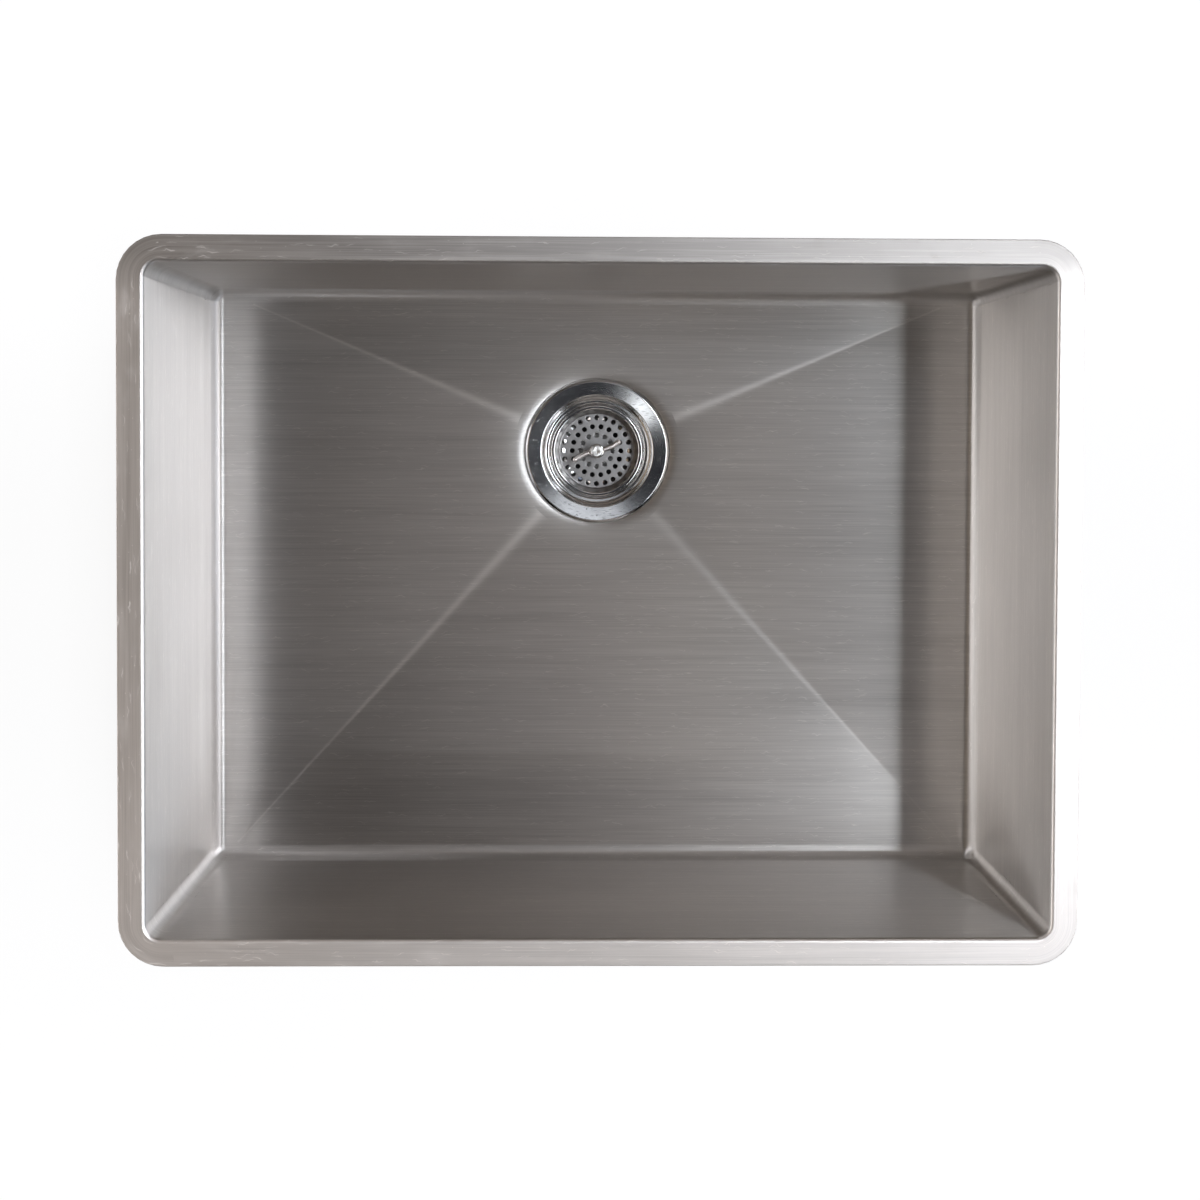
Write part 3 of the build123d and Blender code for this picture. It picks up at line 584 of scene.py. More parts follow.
STEEL = (0.62, 0.60, 0.58)
floor_steel = brushed_steel("brushed_floor", STEEL, 0.35, 1.0, 0.875, floor_marks, 0.2)
wall_steel = brushed_steel("brushed_walls", STEEL, 0.35, 1.0, 0.25, wall_marks, 0.0, 0.6)
flange_steel = brushed_steel("satin_flange", (0.62, 0.585, 0.56), 0.40, 0.0, 0.0, flange_marks)
outside_steel = brushed_steel("mill_outside", (0.56, 0.55, 0.54), 0.42, 0.0, 0.0)
bowl = make_bowl([floor_steel, wall_steel, flange_steel, outside_steel])
bowl.data.use_auto_texspace = False
bowl.data.texspace_location = (-50, -50, 0)
bowl.data.texspace_size = (1, 1, 1)
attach(bowl, "sink")
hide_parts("bowl")

# --------------------------------------------------------------------------------------------------
# The sound pads
# Rubber sheets, three millimetres thick, glued on the outside of the walls and under the floor to damp the
# sheet. They are die-cut, with rounded corners and slightly soft edges.
def plain_copy(piece):
    """The piece's mesh as its modifiers leave it, without the modifiers."""
    depsgraph = bpy.context.evaluated_depsgraph_get()
    whole = piece.evaluated_get(depsgraph)
    mesh = bpy.data.meshes.new_from_object(whole, preserve_all_data_layers=True, depsgraph=depsgraph)
    piece.modifiers.clear()
    old = piece.data
    piece.data = mesh
    bpy.data.meshes.remove(old)
    return piece


def fitted(piece, body, node):
    """The finished piece takes the place of the constructed one on its body."""
    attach(piece, body)
    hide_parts(node)


def softened(node, body, material, width):
    """A copy of a constructed piece with its triangles joined up and its edges rounded."""
    shape = bmesh.new()
    shape.from_mesh(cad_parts[node].data)
    bmesh.ops.remove_doubles(shape, verts=shape.verts, dist=1e-6)
    bmesh.ops.dissolve_limit(shape, angle_limit=radians(0.5), verts=shape.verts, edges=shape.edges)
    bmesh.ops.recalc_face_normals(shape, faces=shape.faces)
    piece = finished(node + "_soft", shape, [material])
    for polygon in piece.data.polygons:
        polygon.material_index = 0
    rounding = piece.modifiers.new("rounding", "BEVEL")
    rounding.width = width
    rounding.segments = 3
    rounding.limit_method = "ANGLE"
    rounding.angle_limit = radians(40)
    rounding.harden_normals = True
    fitted(plain_copy(piece), body, node)


def matt_rubber(name, colour, roughness, relief):
    """Moulded or cut rubber with a fine grain, dusty patches and a few rub marks."""
    rubber = Finish(name, Specular_IOR_Level=0.4)
    place = rubber.place()
    grain = rubber.noise(rubber.mapped(place, (1600, 1600, 1600)), 2, 0.6)
    dust = rubber.noise(rubber.mapped(place, (28, 28, 28)), 4, 0.6)
    fleck = rubber.spots(rubber.mapped(place, (240, 240, 240))).below(0.14)
    pale = tuple(min(1, 2.1 * c + 0.02) for c in colour)
    cover = (dust - 0.42) * 1.6 + (grain - 0.5) * 0.3 + fleck * 0.12
    rubber.vary("Base Color", rubber.mixed(cover, colour, pale))
    rubber.vary("Roughness", roughness + (dust - 0.5) * 0.25 + (grain - 0.5) * 0.12)
    rubber.bump(grain * 0.7 + dust * 0.3, relief)
    return rubber.material


pad_rubber = matt_rubber("pad_rubber", (0.07, 0.07, 0.074), 0.75, 0.12 * mm)
for side_name in ("back", "left", "front", "right", "floor_left", "floor_right", "floor_front"):
    softened("sound_pad_" + side_name, "sink", pad_rubber, 0.7 * mm)

# --------------------------------------------------------------------------------------------------
# The strainer cup
# Stainless sheet drawn into a cup and mirror polished: a broad flange that seals on the bowl, a ledge that
# falls inwards a little, the basket's seat, the plug's seat and a neck that ends in a slotted grate. Radii
# and heights are in millimetres, heights from the flange's top.
SEGMENTS = 144


def rounded(points, radii, steps=5):
    """A line through (radius, height) points with rounded corners: its points and the normals on its left."""
    points = [Vector(p) for p in points]
    line = []
    for i, corner in enumerate(points):
        ahead = (points[i + 1] - corner).normalized() if i + 1 < len(points) else None
        behind = (corner - points[i - 1]).normalized() if i else None
        if ahead is None or behind is None:
            along = ahead or behind
            line.append((corner, Vector((-along.y, along.x))))
            continue
        turn = atan2(behind.x * ahead.y - behind.y * ahead.x, behind.dot(ahead))
        shorter = min((corner - points[i - 1]).length, (points[i + 1] - corner).length)
        radius = min(radii[i - 1], 0.45 * shorter / max(tan(abs(turn) / 2), 1e-6))
        start = corner - behind * radius * tan(abs(turn) / 2)
        left = Vector((-behind.y, behind.x)) * (1 if turn > 0 else -1)
        centre = start + left * radius
        for k in range(steps + 1):
            along = Matrix.Rotation(turn * k / steps, 2) @ behind
            normal = Vector((-along.y, along.x))
            line.append((centre - normal * radius * (1 if turn > 0 else -1), normal))
    return line


def sheet_outline(points, radii, thickness, edge=0.2):
    """Section of a sheet whose seen face runs inwards from its free edge. None marks a joint."""
    line = rounded(points, radii)
    first, normal = line[0]
    along = Vector((normal.y, -normal.x))
    outline = [first + normal * thickness + along * edge]
    outline.append(first + normal * (thickness - 0.3 * edge) + along * 0.3 * edge)
    outline.append(first + normal * (thickness - edge))
    outline.append(first + normal * edge)
    outline.append(first + (normal + along) * 0.3 * edge)
    outline.append(first + along * edge)
    outline += [p for p, _ in line[1:]] + [None]
    return outline + [p + n * thickness for p, n in reversed(line[1:])]


def held(outline, shortest=1.2, hold=0.2):
    """The outline with points close to both ends of its longer stretches, so that they are shaded flat."""
    points = []
    for place, following in zip(outline, outline[1:] + outline[:1]):
        points.append(place)
        if place and following:
            stretch = Vector(following) - Vector(place)
            if stretch.length > shortest:
                margin = stretch * (hold / stretch.length)
                points += [Vector(place) + margin, Vector(following) - margin]
    return points


def turned(outline, relief=None):
    """Mesh of a closed (radius, height) outline turned round the drain's axis, open where it holds None."""
    shape = bmesh.new()
    rows = []
    for place in held(outline):
        row = []
        for j in range(SEGMENTS if place else 0):
            angle = 2 * pi * j / SEGMENTS
            radius = place[0] + (relief(place[0], place[1], angle) if relief else 0)
            point = Vector((radius * cos(angle), radius * sin(angle), place[1]))
            row.append(shape.verts.new(DRAIN + point * mm))
        rows.append(row)
    for row, after in zip(rows, rows[1:] + rows[:1]):
        for j in range(SEGMENTS if row and after else 0):
            beside = (j + 1) % SEGMENTS
            shape.faces.new((row[j], after[j], after[beside], row[beside]))
    return shape


def repeat_round_tree():
    """Copies of one piece set evenly round an upright axis, joined where they touch."""
    tree = bpy.data.node_groups.new("repeat_round", "GeometryNodeTree")
    face = tree.interface
    face.new_socket("Geometry", in_out="INPUT", socket_type="NodeSocketGeometry")
    face.new_socket("Count", in_out="INPUT", socket_type="NodeSocketInt")
    face.new_socket("Centre", in_out="INPUT", socket_type="NodeSocketVector")
    face.new_socket("Material", in_out="INPUT", socket_type="NodeSocketMaterial")
    face.new_socket("Geometry", in_out="OUTPUT", socket_type="NodeSocketGeometry")

    def add(kind, settings=None, inputs=None):
        node = tree.nodes.new(kind)
        for name, value in (settings or {}).items():
            setattr(node, name, value)
        for name, value in (inputs or {}).items():
            if isinstance(value, bpy.types.NodeSocket):
                tree.links.new(value, node.inputs[name])
            else:
                node.inputs[name].default_value = value
        return node

    given = add("NodeGroupInput").outputs
    points = add("GeometryNodePoints", None, {"Count": given["Count"], "Position": given["Centre"]})
    index = add("GeometryNodeInputIndex")
    share = add("ShaderNodeMath", {"operation": "DIVIDE"}, {0: index.outputs[0], 1: given["Count"]})
    angle = add("ShaderNodeMath", {"operation": "MULTIPLY"}, {0: share.outputs[0], 1: 2 * pi})
    turn = add("ShaderNodeCombineXYZ", None, {"Z": angle.outputs[0]})
    rotation = add("FunctionNodeEulerToRotation", None, {0: turn.outputs[0]})
    copies = add("GeometryNodeInstanceOnPoints", None, {
        "Points": points.outputs[0], "Instance": given["Geometry"], "Rotation": rotation.outputs[0],
    })
    real = add("GeometryNodeRealizeInstances", None, {0: copies.outputs[0]})
    joined = add("GeometryNodeMergeByDistance", None, {"Geometry": real.outputs[0], "Distance": 0.002 * mm})
    coat = {"Geometry": joined.outputs[0], "Material": given["Material"]}
    painted = add("GeometryNodeSetMaterial", None, coat)
    add("NodeGroupOutput", None, {0: painted.outputs[0]})
    return tree


repeat_round = repeat_round_tree()


def repeated(shape, count, material):
    """Mesh of copies of a shape, made at the origin, set round the drain's axis."""
    piece = finished("copies", shape, [material])
    copies = piece.modifiers.new("repeat_round", "NODES")
    copies.node_group = repeat_round
    given = {"Count": count, "Centre": tuple(DRAIN), "Material": material}
    for item in repeat_round.interface.items_tree:
        if item.item_type == "SOCKET" and item.in_out == "INPUT" and item.name in given:
            copies[item.identifier] = given[item.name]
    plain_copy(piece)
    mesh = piece.data
    bpy.data.objects.remove(piece)
    return mesh


def welded(name, parts, materials):
    """One piece of several parts, joined where their points meet. Each: (mesh or shape, material index)."""
    whole = bmesh.new()
    for part, material in parts:
        start = len(whole.faces)
        if isinstance(part, bmesh.types.BMesh):
            mesh = bpy.data.meshes.new("part")
            part.to_mesh(mesh)
            part.free()
            part = mesh
        whole.from_mesh(part)
        whole.faces.ensure_lookup_table()
        for face in whole.faces[start:]:
            face.material_index = material
        bpy.data.meshes.remove(part)
    bmesh.ops.remove_doubles(whole, verts=whole.verts, dist=2e-6)
    bmesh.ops.dissolve_degenerate(whole, edges=whole.edges, dist=1e-8)
    bmesh.ops.recalc_face_normals(whole, faces=whole.faces)
    return finished(name, whole, materials)


def pierced_cell(inner_r, outer_r, count, beside, hole_point, top, thickness, lip=0.12):
    """One cell of a pierced flat ring: open at its sides, where it meets its neighbours."""
    half = pi / count
    across = SEGMENTS // count
    border = []
    for i in range(across):
        angle = -half + 2 * half * i / across
        border.append((Vector((cos(angle), sin(angle))) * outer_r, ("outer", i / across)))
    for i in range(beside):
        t = i / beside
        border.append((Vector((cos(half), sin(half))) * (outer_r + (inner_r - outer_r) * t), ("left", t)))
    for i in range(across):
        angle = half - 2 * half * i / across
        border.append((Vector((cos(angle), sin(angle))) * inner_r, ("inner", i / across)))
    for i in range(beside):
        t = i / beside
        border.append((Vector((cos(half), -sin(half))) * (inner_r + (outer_r - inner_r) * t), ("right", t)))
    rims = [hole_point(point, side, t) for point, (side, t) in border]
    shape = bmesh.new()
    foot = top - thickness
    rows = []

    def row(share, inset, height):
        points = []
        for (edge, _), rim in zip(border, rims):
            out = (edge - rim).normalized()
            p = edge.lerp(rim, share) + out * inset
            points.append(shape.verts.new(Vector((p.x, p.y, height)) * mm))
        rows.append(points)

    for share in (0, 0.35, 0.7):
        row(share, 0, top)
    for inset, down in ((1, 0), (0.6, 0.08), (0.3, 0.3), (0.08, 0.6), (0, 1)):
        row(1, inset * lip, top - down * lip)
    for inset, up in ((0, 1), (0.3, 0.3), (1, 0)):
        row(1, inset * lip, foot + up * lip)
    for share in (0.5, 0):
        row(share, 0, foot)
    for before, after in zip(rows, rows[1:]):
        for j in range(len(before)):
            beside_j = (j + 1) % len(before)
            shape.faces.new((before[j], after[j], after[beside_j], before[beside_j]))
    return shape


GRATE_H = -60.8
NECK_WALL_R = 21.5
SLOT_INNER_R, SLOT_OUTER_R, SLOT_WEB, SLOTS = 10.5, 18, 4, 6
GRATE_RINGS = (8.5, 19)
SCREW_HOLE_R = 4.3


def slot_point(edge, side, t):
    """Where the slot's edge lies for a place on its cell's border."""
    def reach(radius):
        return pi / SLOTS - atan2(SLOT_WEB / 2, radius)
    corner = 0.12
    eased = corner + (1 - 2 * corner) * t
    if side == "outer":
        angle = reach(SLOT_OUTER_R) * (2 * eased - 1)
        return Vector((cos(angle), sin(angle))) * SLOT_OUTER_R
    if side == "inner":
        angle = reach(SLOT_INNER_R) * (1 - 2 * eased)
        return Vector((cos(angle), sin(angle))) * SLOT_INNER_R
    if side == "left":
        radius = SLOT_OUTER_R + (SLOT_INNER_R - SLOT_OUTER_R) * eased
        return Vector((cos(reach(radius)), sin(reach(radius)))) * radius
    radius = SLOT_INNER_R + (SLOT_OUTER_R - SLOT_INNER_R) * eased
    return Vector((cos(reach(radius)), -sin(reach(radius)))) * radius


def rotated(shape, angle):
    """Turns a shape about the upright axis through the origin."""
    bmesh.ops.rotate(shape, verts=shape.verts, cent=(0, 0, 0), matrix=Matrix.Rotation(angle, 3, "Z"))
    return shape


def polished_steel(name, colour, roughness, scuff, relief):
    """Polished stainless steel: faint turning marks round the axis, smudges, dried drops, hair scratches."""
    steel = Finish(name, Metallic=1.0)
    place = steel.mapped(steel.place(), (1, 1, 1), 0, tuple(-DRAIN))
    flat = steel.node("ShaderNodeVectorMath", {"operation": "MULTIPLY"}, {0: place, 1: (1, 1, 0)})
    radius = steel.node("ShaderNodeVectorMath", {"operation": "LENGTH"}, {0: flat}, "Value")
    turning = {"W": radius * 2600, "Scale": 1.0, "Detail": 3.0}
    lines = steel.node("ShaderNodeTexNoise", {"noise_dimensions": "1D"}, turning)
    smudge = steel.noise(steel.mapped(place, (70, 70, 70)), 4, 0.6)
    cloud = steel.noise(steel.mapped(place, (22, 22, 22)), 3, 0.5)
    marks = hairs(steel, place, 9 * mm, 0.7 * mm, 0.7, 0.3)
    marks += hairs(steel, place, 8 * mm, 0.7 * mm, -0.5, 0.25)
    drop = steel.spots(steel.mapped(place, (130, 130, 130))).below(0.1)
    dull = tuple(0.86 * c for c in colour)
    steel.vary("Base Color", steel.mixed((smudge - 0.35) * 1.2 + drop * 0.3, colour, dull))
    wear = (smudge - 0.4) * scuff + (cloud - 0.5) * scuff
    steel.vary("Roughness", roughness + wear + marks * 0.08 + drop * 0.08)
    steel.bump(lines * 0.1 + marks * 0.4 + smudge * 0.3, relief)
    return steel.material


mirror_steel = polished_steel("polished_flange", (0.74, 0.735, 0.73), 0.10, 0.06, 0.004 * mm)
cup_line = [
    (56.5, -0.9), (54.7, 0), (43.6, -0.8), (41, -13), (37.9, -13.15), (37.9, -16.2), (34.4, -16.2),
    (34.4, -44), (25.5, -45.8), (NECK_WALL_R, -45.8), (NECK_WALL_R, GRATE_H), (GRATE_RINGS[1], GRATE_H),
]
cup_bends = [1.5, 1.2, 1.0, 0.8, 0.8, 0.8, 1.5, 1.5, 1.2, 1.5]
cup_walls = turned(sheet_outline(cup_line, cup_bends, 1.0))
grate_cell = rotated(pierced_cell(*GRATE_RINGS, SLOTS, 10, slot_point, GRATE_H, 1.0, 0.15), pi / SLOTS)
grate_middle = turned([
    (GRATE_RINGS[0], GRATE_H), (SCREW_HOLE_R + 0.2, GRATE_H), (SCREW_HOLE_R, GRATE_H - 0.2),
    (SCREW_HOLE_R, GRATE_H - 0.8), (SCREW_HOLE_R + 0.2, GRATE_H - 1), (GRATE_RINGS[0], GRATE_H - 1), None,
])
grate = repeated(grate_cell, SLOTS, mirror_steel)
strainer_cup = welded("strainer_cup_drawn", [(cup_walls, 0), (grate_middle, 0), (grate, 0)], [mirror_steel])
fitted(strainer_cup, "sink", "strainer_cup")

# --------------------------------------------------------------------------------------------------
# The seals
# Black rubber: a thick gasket under the bowl, and thin rings under the cup's flange, round its neck and round
# the fixing screw. Only the gasket's edge is open to view.
seal_rubber = matt_rubber("seal_rubber", (0.02, 0.02, 0.021), 0.5, 0.05 * mm)


def dressed(node, material):
    """A piece that keeps its constructed shape gets its material."""
    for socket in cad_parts[node].material_slots:
        socket.material = material


softened("body_gasket", "sink", seal_rubber, 0.5 * mm)
for ring_name in ("top_seal", "neck_seal", "hub_washer"):
    dressed(ring_name, seal_rubber)

# --------------------------------------------------------------------------------------------------
# The waste body
# One polypropylene moulding under the bowl: a flange with gussets, a tapered funnel, a ribbed grip, the
# threaded outlet for the trap and, inside, a hub on three ribs that takes the fixing screw.
MOUTH_R, WELL_R, POCKET_R, BORE_R = 46, 40.3, 22.9, 19
WASTE_TOP, HUB_TOP, HUB_FOOT, THREAD_TOP, OUTLET_END = -6.4, -63.3, -84.3, -83.3, -105.3
THREAD_R, THREAD_PITCH, THREAD_DEPTH, THREAD_RUN_OUT = 23.9, 2.309, 1.1, 0.5
COLLAR_R = 26.5


def moulded_plastic():
    """Off-white moulded plastic with flow clouding, a fine moulded grain and grey handling marks."""
    plastic = Finish(
        "moulded_plastic", Subsurface_Weight=0.08, Subsurface_Scale=2 * mm, Specular_IOR_Level=0.5,
    )
    plastic.shader.inputs["Subsurface Radius"].default_value = (1.0, 0.9, 0.8)
    place = plastic.place()
    grain = plastic.noise(plastic.mapped(place, (1500, 1500, 1500)), 2, 0.5)
    flow = plastic.noise(plastic.mapped(place, (35, 35, 12)), 3, 0.5)
    scuff = plastic.noise(plastic.mapped(place, (120, 120, 60)), 4, 0.7)
    tone = plastic.mixed((flow - 0.4) * 1.4 + (scuff - 0.5) * 0.5, (0.80, 0.80, 0.78), (0.70, 0.70, 0.67))
    plastic.vary("Base Color", tone)
    plastic.vary("Roughness", 0.42 + (scuff - 0.5) * 0.25 + (grain - 0.5) * 0.1)
    plastic.bump(grain * 0.6 + flow * 0.4, 0.05 * mm)
    return plastic.material


def thread_relief(radius, height, angle):
    """The thread's groove at a place on the outlet, fading out towards its ends."""
    below_top = THREAD_TOP - THREAD_RUN_OUT - height
    if radius < THREAD_R - 0.01 or below_top < 0:
        return 0
    turn = (height / THREAD_PITCH + angle / (2 * pi)) % 1
    depth = min(1, max(0, 1.25 - 2.6 * abs(turn - 0.5)))
    fade = min(1, below_top / 2, max(0, (height - OUTLET_END - 0.4) / 1.5))
    return -THREAD_DEPTH * depth * fade


def block_between(corners, half_thickness):
    """Upright slab, made at the origin: (radius, height) corners, with its thickness across the X axis."""
    shape = bmesh.new()
    sides = []
    for y in (-half_thickness, half_thickness):
        sides.append([shape.verts.new(Vector((r, y, h)) * mm) for r, h in corners])
    shape.faces.new(sides[0])
    shape.faces.new(sides[1][::-1])
    for i in range(len(corners)):
        after = (i + 1) % len(corners)
        shape.faces.new((sides[0][i], sides[1][i], sides[1][after], sides[0][after]))
    bmesh.ops.bevel(
        shape, geom=shape.edges[:], offset=0.25 * mm, segments=2, affect="EDGES", profile=0.5,
        clamp_overlap=True,
    )
    return shape


plastic = moulded_plastic()
inner_line = [p for p, _ in rounded([
    (MOUTH_R, WASTE_TOP - 0.3), (MOUTH_R, -13), (WELL_R, -18.6), (WELL_R, -46.8), (POCKET_R, -49.8),
    (POCKET_R, HUB_TOP), (BORE_R, HUB_TOP), (BORE_R, OUTLET_END + 0.5),
], [4, 4, 4, 4, 0.4, 0.5])]
thread_rows = [(THREAD_R, THREAD_TOP - THREAD_RUN_OUT - 0.3 * i) for i in range(71)]
outer_line = [(BORE_R + 0.5, OUTLET_END), (THREAD_R - 1, OUTLET_END), (THREAD_R - 0.3, OUTLET_END + 0.3)]
outer_line += thread_rows[::-1]
outer_line += [p for p, _ in rounded([
    (THREAD_R, THREAD_TOP - 0.2), (THREAD_R, THREAD_TOP), (COLLAR_R, THREAD_TOP), (COLLAR_R, HUB_TOP),
    (25.9, HUB_TOP + 3), (25.9, -51.8), (43.3, -48.6), (43.3, -19.8), (49, -14.5), (49, -11.4), (57, -11.4),
    (57, WASTE_TOP), (MOUTH_R, WASTE_TOP), (MOUTH_R, WASTE_TOP - 0.25),
], [0.3, 0.5, 0.6, 1, 3, 6, 5, 5, 1.5, 0.5, 0.5, 0.3])]
funnel = turned(inner_line + outer_line, thread_relief)
gusset = block_between([(47.5, -8.9), (55, -8.9), (55, -11.4), (41.8, -27.6), (41.8, -18.6)], 1)
collar_rib = block_between([
    (COLLAR_R - 0.75, -83.2), (COLLAR_R + 0.75, -83.2), (COLLAR_R + 0.75, -63.5), (COLLAR_R - 0.75, -63.5),
], 0.75)
hub_rib = block_between([(0.01, HUB_FOOT), (20, HUB_FOOT), (20, HUB_TOP - 3), (0.01, HUB_TOP - 3)], 1.5)
rotated(hub_rib, pi / 3)
hub = turned([
    (4.3, HUB_TOP - 0.3), (4.6, HUB_TOP), (7.6, HUB_TOP), (8, HUB_TOP - 0.4), (8, HUB_FOOT + 0.4),
    (7.6, HUB_FOOT), (4.6, HUB_FOOT), (4.3, HUB_FOOT + 0.3),
])
moulding = [(funnel, 0), (hub, 0)]
for shape, count in ((gusset, 12), (collar_rib, 16), (hub_rib, 3)):
    moulding.append((repeated(shape, count, plastic), 0))
fitted(welded("waste_moulding", moulding, [plastic]), "sink", "waste_body")

# --------------------------------------------------------------------------------------------------
# The fixing screw and its insert
# A slotted pan head screw of plain stainless steel that pulls the cup and the waste body together through
# the drain hole, and the turned brass nut moulded into the hub for it.


def plain_metal(name, colour, roughness):
    """Metal as turned or stamped, dull, with fine machining marks and grey staining."""
    metal = Finish(name, Metallic=1.0)
    place = metal.place()
    marks = metal.noise(metal.mapped(place, (300, 300, 4200)), 2, 0.6)
    stain = metal.noise(metal.mapped(place, (160, 160, 160)), 4, 0.6)
    dull = tuple(0.75 * c for c in colour)
    metal.vary("Base Color", metal.mixed((stain - 0.35) * 1.3, colour, dull))
    metal.vary("Roughness", roughness + (stain - 0.5) * 0.25 + (marks - 0.5) * 0.1)
    metal.bump(marks * 0.6 + stain * 0.4, 0.015 * mm)
    return metal.material


stamped_steel = plain_metal("plain_stainless", (0.56, 0.55, 0.54), 0.32)
softened("fixing_screw", "sink", stamped_steel, 0.25 * mm)
dressed("insert_nut", plain_metal("brass", (0.72, 0.52, 0.25), 0.3))

# --------------------------------------------------------------------------------------------------
# The basket
# Thin stainless sheet drawn into a shallow basket with a rolled rim; its flat is pierced with three rings of
# round holes whose edges are slightly drawn in. It is polished on its rim and satin on the wall and the flat.
BASKET_FLAT = -30.6
BASKET_SHEET = 0.8
BASKET_WALL_TOP, BASKET_WALL_R = -16, 33
HOLE_PUNCH_R = 2.0
HOLE_RINGS = ((26.6, 29.0, 23.1, 24), (19.65, 23.1, 16.2, 18), (12.7, 16.2, 9.2, 12))


def satin_flat():
    """The basket's pressed flat and wall: satin grey steel with clouding and fine pitting."""
    steel = Finish("satin_flat", Metallic=1.0)
    place = steel.place()
    grain = steel.noise(steel.mapped(place, (1800, 1800, 1800)), 2, 0.6)
    cloud = steel.noise(steel.mapped(place, (180, 180, 180)), 4, 0.6)
    steel.vary("Base Color", steel.mixed((cloud - 0.35) * 1.2, (0.41, 0.40, 0.395), (0.34, 0.33, 0.325)))
    steel.vary("Roughness", 0.29 + (cloud - 0.5) * 0.06 + (grain - 0.5) * 0.06)
    steel.bump(grain * 0.6 + cloud * 0.4, 0.006 * mm)
    return steel.material


flat_steel = satin_flat()
basket_steel = polished_steel("polished_basket", (0.72, 0.71, 0.70), 0.08, 0.12, 0.006 * mm)
basket_line = [(36.7, -16.15), (36.7, -13.6), (33.1, -13.6), (30.3, BASKET_FLAT), (29.0, BASKET_FLAT)]
basket_walls = turned(sheet_outline(basket_line, [1.5, 1.2, 1.5], BASKET_SHEET))
basket_middle = turned([
    (9.2, BASKET_FLAT), (4.15, BASKET_FLAT), (4, BASKET_FLAT - 0.15), (4, BASKET_FLAT - 0.65),
    (4.15, BASKET_FLAT - 0.8), (9.2, BASKET_FLAT - 0.8), None,
])
basket_parts = [(basket_walls, 0), (basket_middle, 1)]
for ring_r, outer_r, inner_r, count in HOLE_RINGS:
    def hole_edge(edge, side, t, middle=Vector((ring_r, 0))):
        return middle + (edge - middle).normalized() * HOLE_PUNCH_R
    cell = pierced_cell(inner_r, outer_r, count, 6, hole_edge, BASKET_FLAT, BASKET_SHEET, 0.16)
    basket_parts.append((repeated(cell, count, flat_steel), 1))
basket = welded("basket_drawn", basket_parts, [basket_steel, flat_steel])
for polygon in basket.data.polygons:
    place = (polygon.center - DRAIN) / mm
    if place.z < BASKET_WALL_TOP and hypot(place.x, place.y) < BASKET_WALL_R:
        polygon.material_index = 1
fitted(basket, "basket", "basket")

# --------------------------------------------------------------------------------------------------
# The bush in the basket
# A natural nylon bush snapped into the basket's middle, with the rubber ring inside it that grips the
# spindle.
SPINDLE_R, SPINDLE_HOLE_R = 3, 3.05


def turned_piece(name, body, node, material, outline, edge=0.25):
    """A turned piece of a closed (radius, height) outline, its corners rounded a little."""
    points = [Vector(p) for p in outline]
    eased = []
    for i, corner in enumerate(points):
        for other in (points[i - 1], points[(i + 1) % len(points)]):
            away = other - corner
            eased.append(corner + away * min(0.4, edge / away.length))
        eased.insert(-1, (eased[-2] + eased[-1]) / 4 + corner / 2)
    fitted(welded(name, [(turned(eased), 0)], [material]), body, node)


def natural_nylon():
    """Milky nylon with slight clouding and a soft sheen."""
    nylon = Finish("natural_nylon", Subsurface_Weight=0.15, Subsurface_Scale=1 * mm)
    place = nylon.place()
    cloud = nylon.noise(nylon.mapped(place, (220, 220, 220)), 3, 0.6)
    grain = nylon.noise(nylon.mapped(place, (2400, 2400, 2400)), 2, 0.5)
    nylon.vary("Base Color", nylon.mixed((cloud - 0.35) * 1.3, (0.74, 0.73, 0.69), (0.62, 0.60, 0.55)))
    nylon.vary("Roughness", 0.38 + (cloud - 0.5) * 0.2)
    nylon.bump(grain * 0.7 + cloud * 0.3, 0.03 * mm)
    return nylon.material


turned_piece("nylon_bush", "bush", "spindle_bush", natural_nylon(), [
    (SPINDLE_HOLE_R, -29.55), (5.6, -29.55), (5.6, -30.55), (3.92, -30.55), (3.92, -31.45), (5.6, -31.45),
    (5.6, -34.25), (SPINDLE_HOLE_R, -34.25), (SPINDLE_HOLE_R, -33.55), (4.35, -33.55), (4.35, -32.15),
    (SPINDLE_HOLE_R, -32.15),
], 0.12)
dressed("grip_ring", seal_rubber)

# --------------------------------------------------------------------------------------------------
# The handle
# An S-shaped casting, polished on its eye and dulled by hands on its two bent round arms, which end in small
# balls. A cap screw with a cross recess holds the eye on the spindle.
EYE_FOOT, EYE_TOP, EYE_R, EYE_FACE_R = -16.95, -13.35, 5.8, 5.1
ARM_R, BALL_R, ARM_REACH = 1.95, 2.15, 18.6
CHORD_ANGLE, BEND_ANGLE = radians(22.4), radians(14)


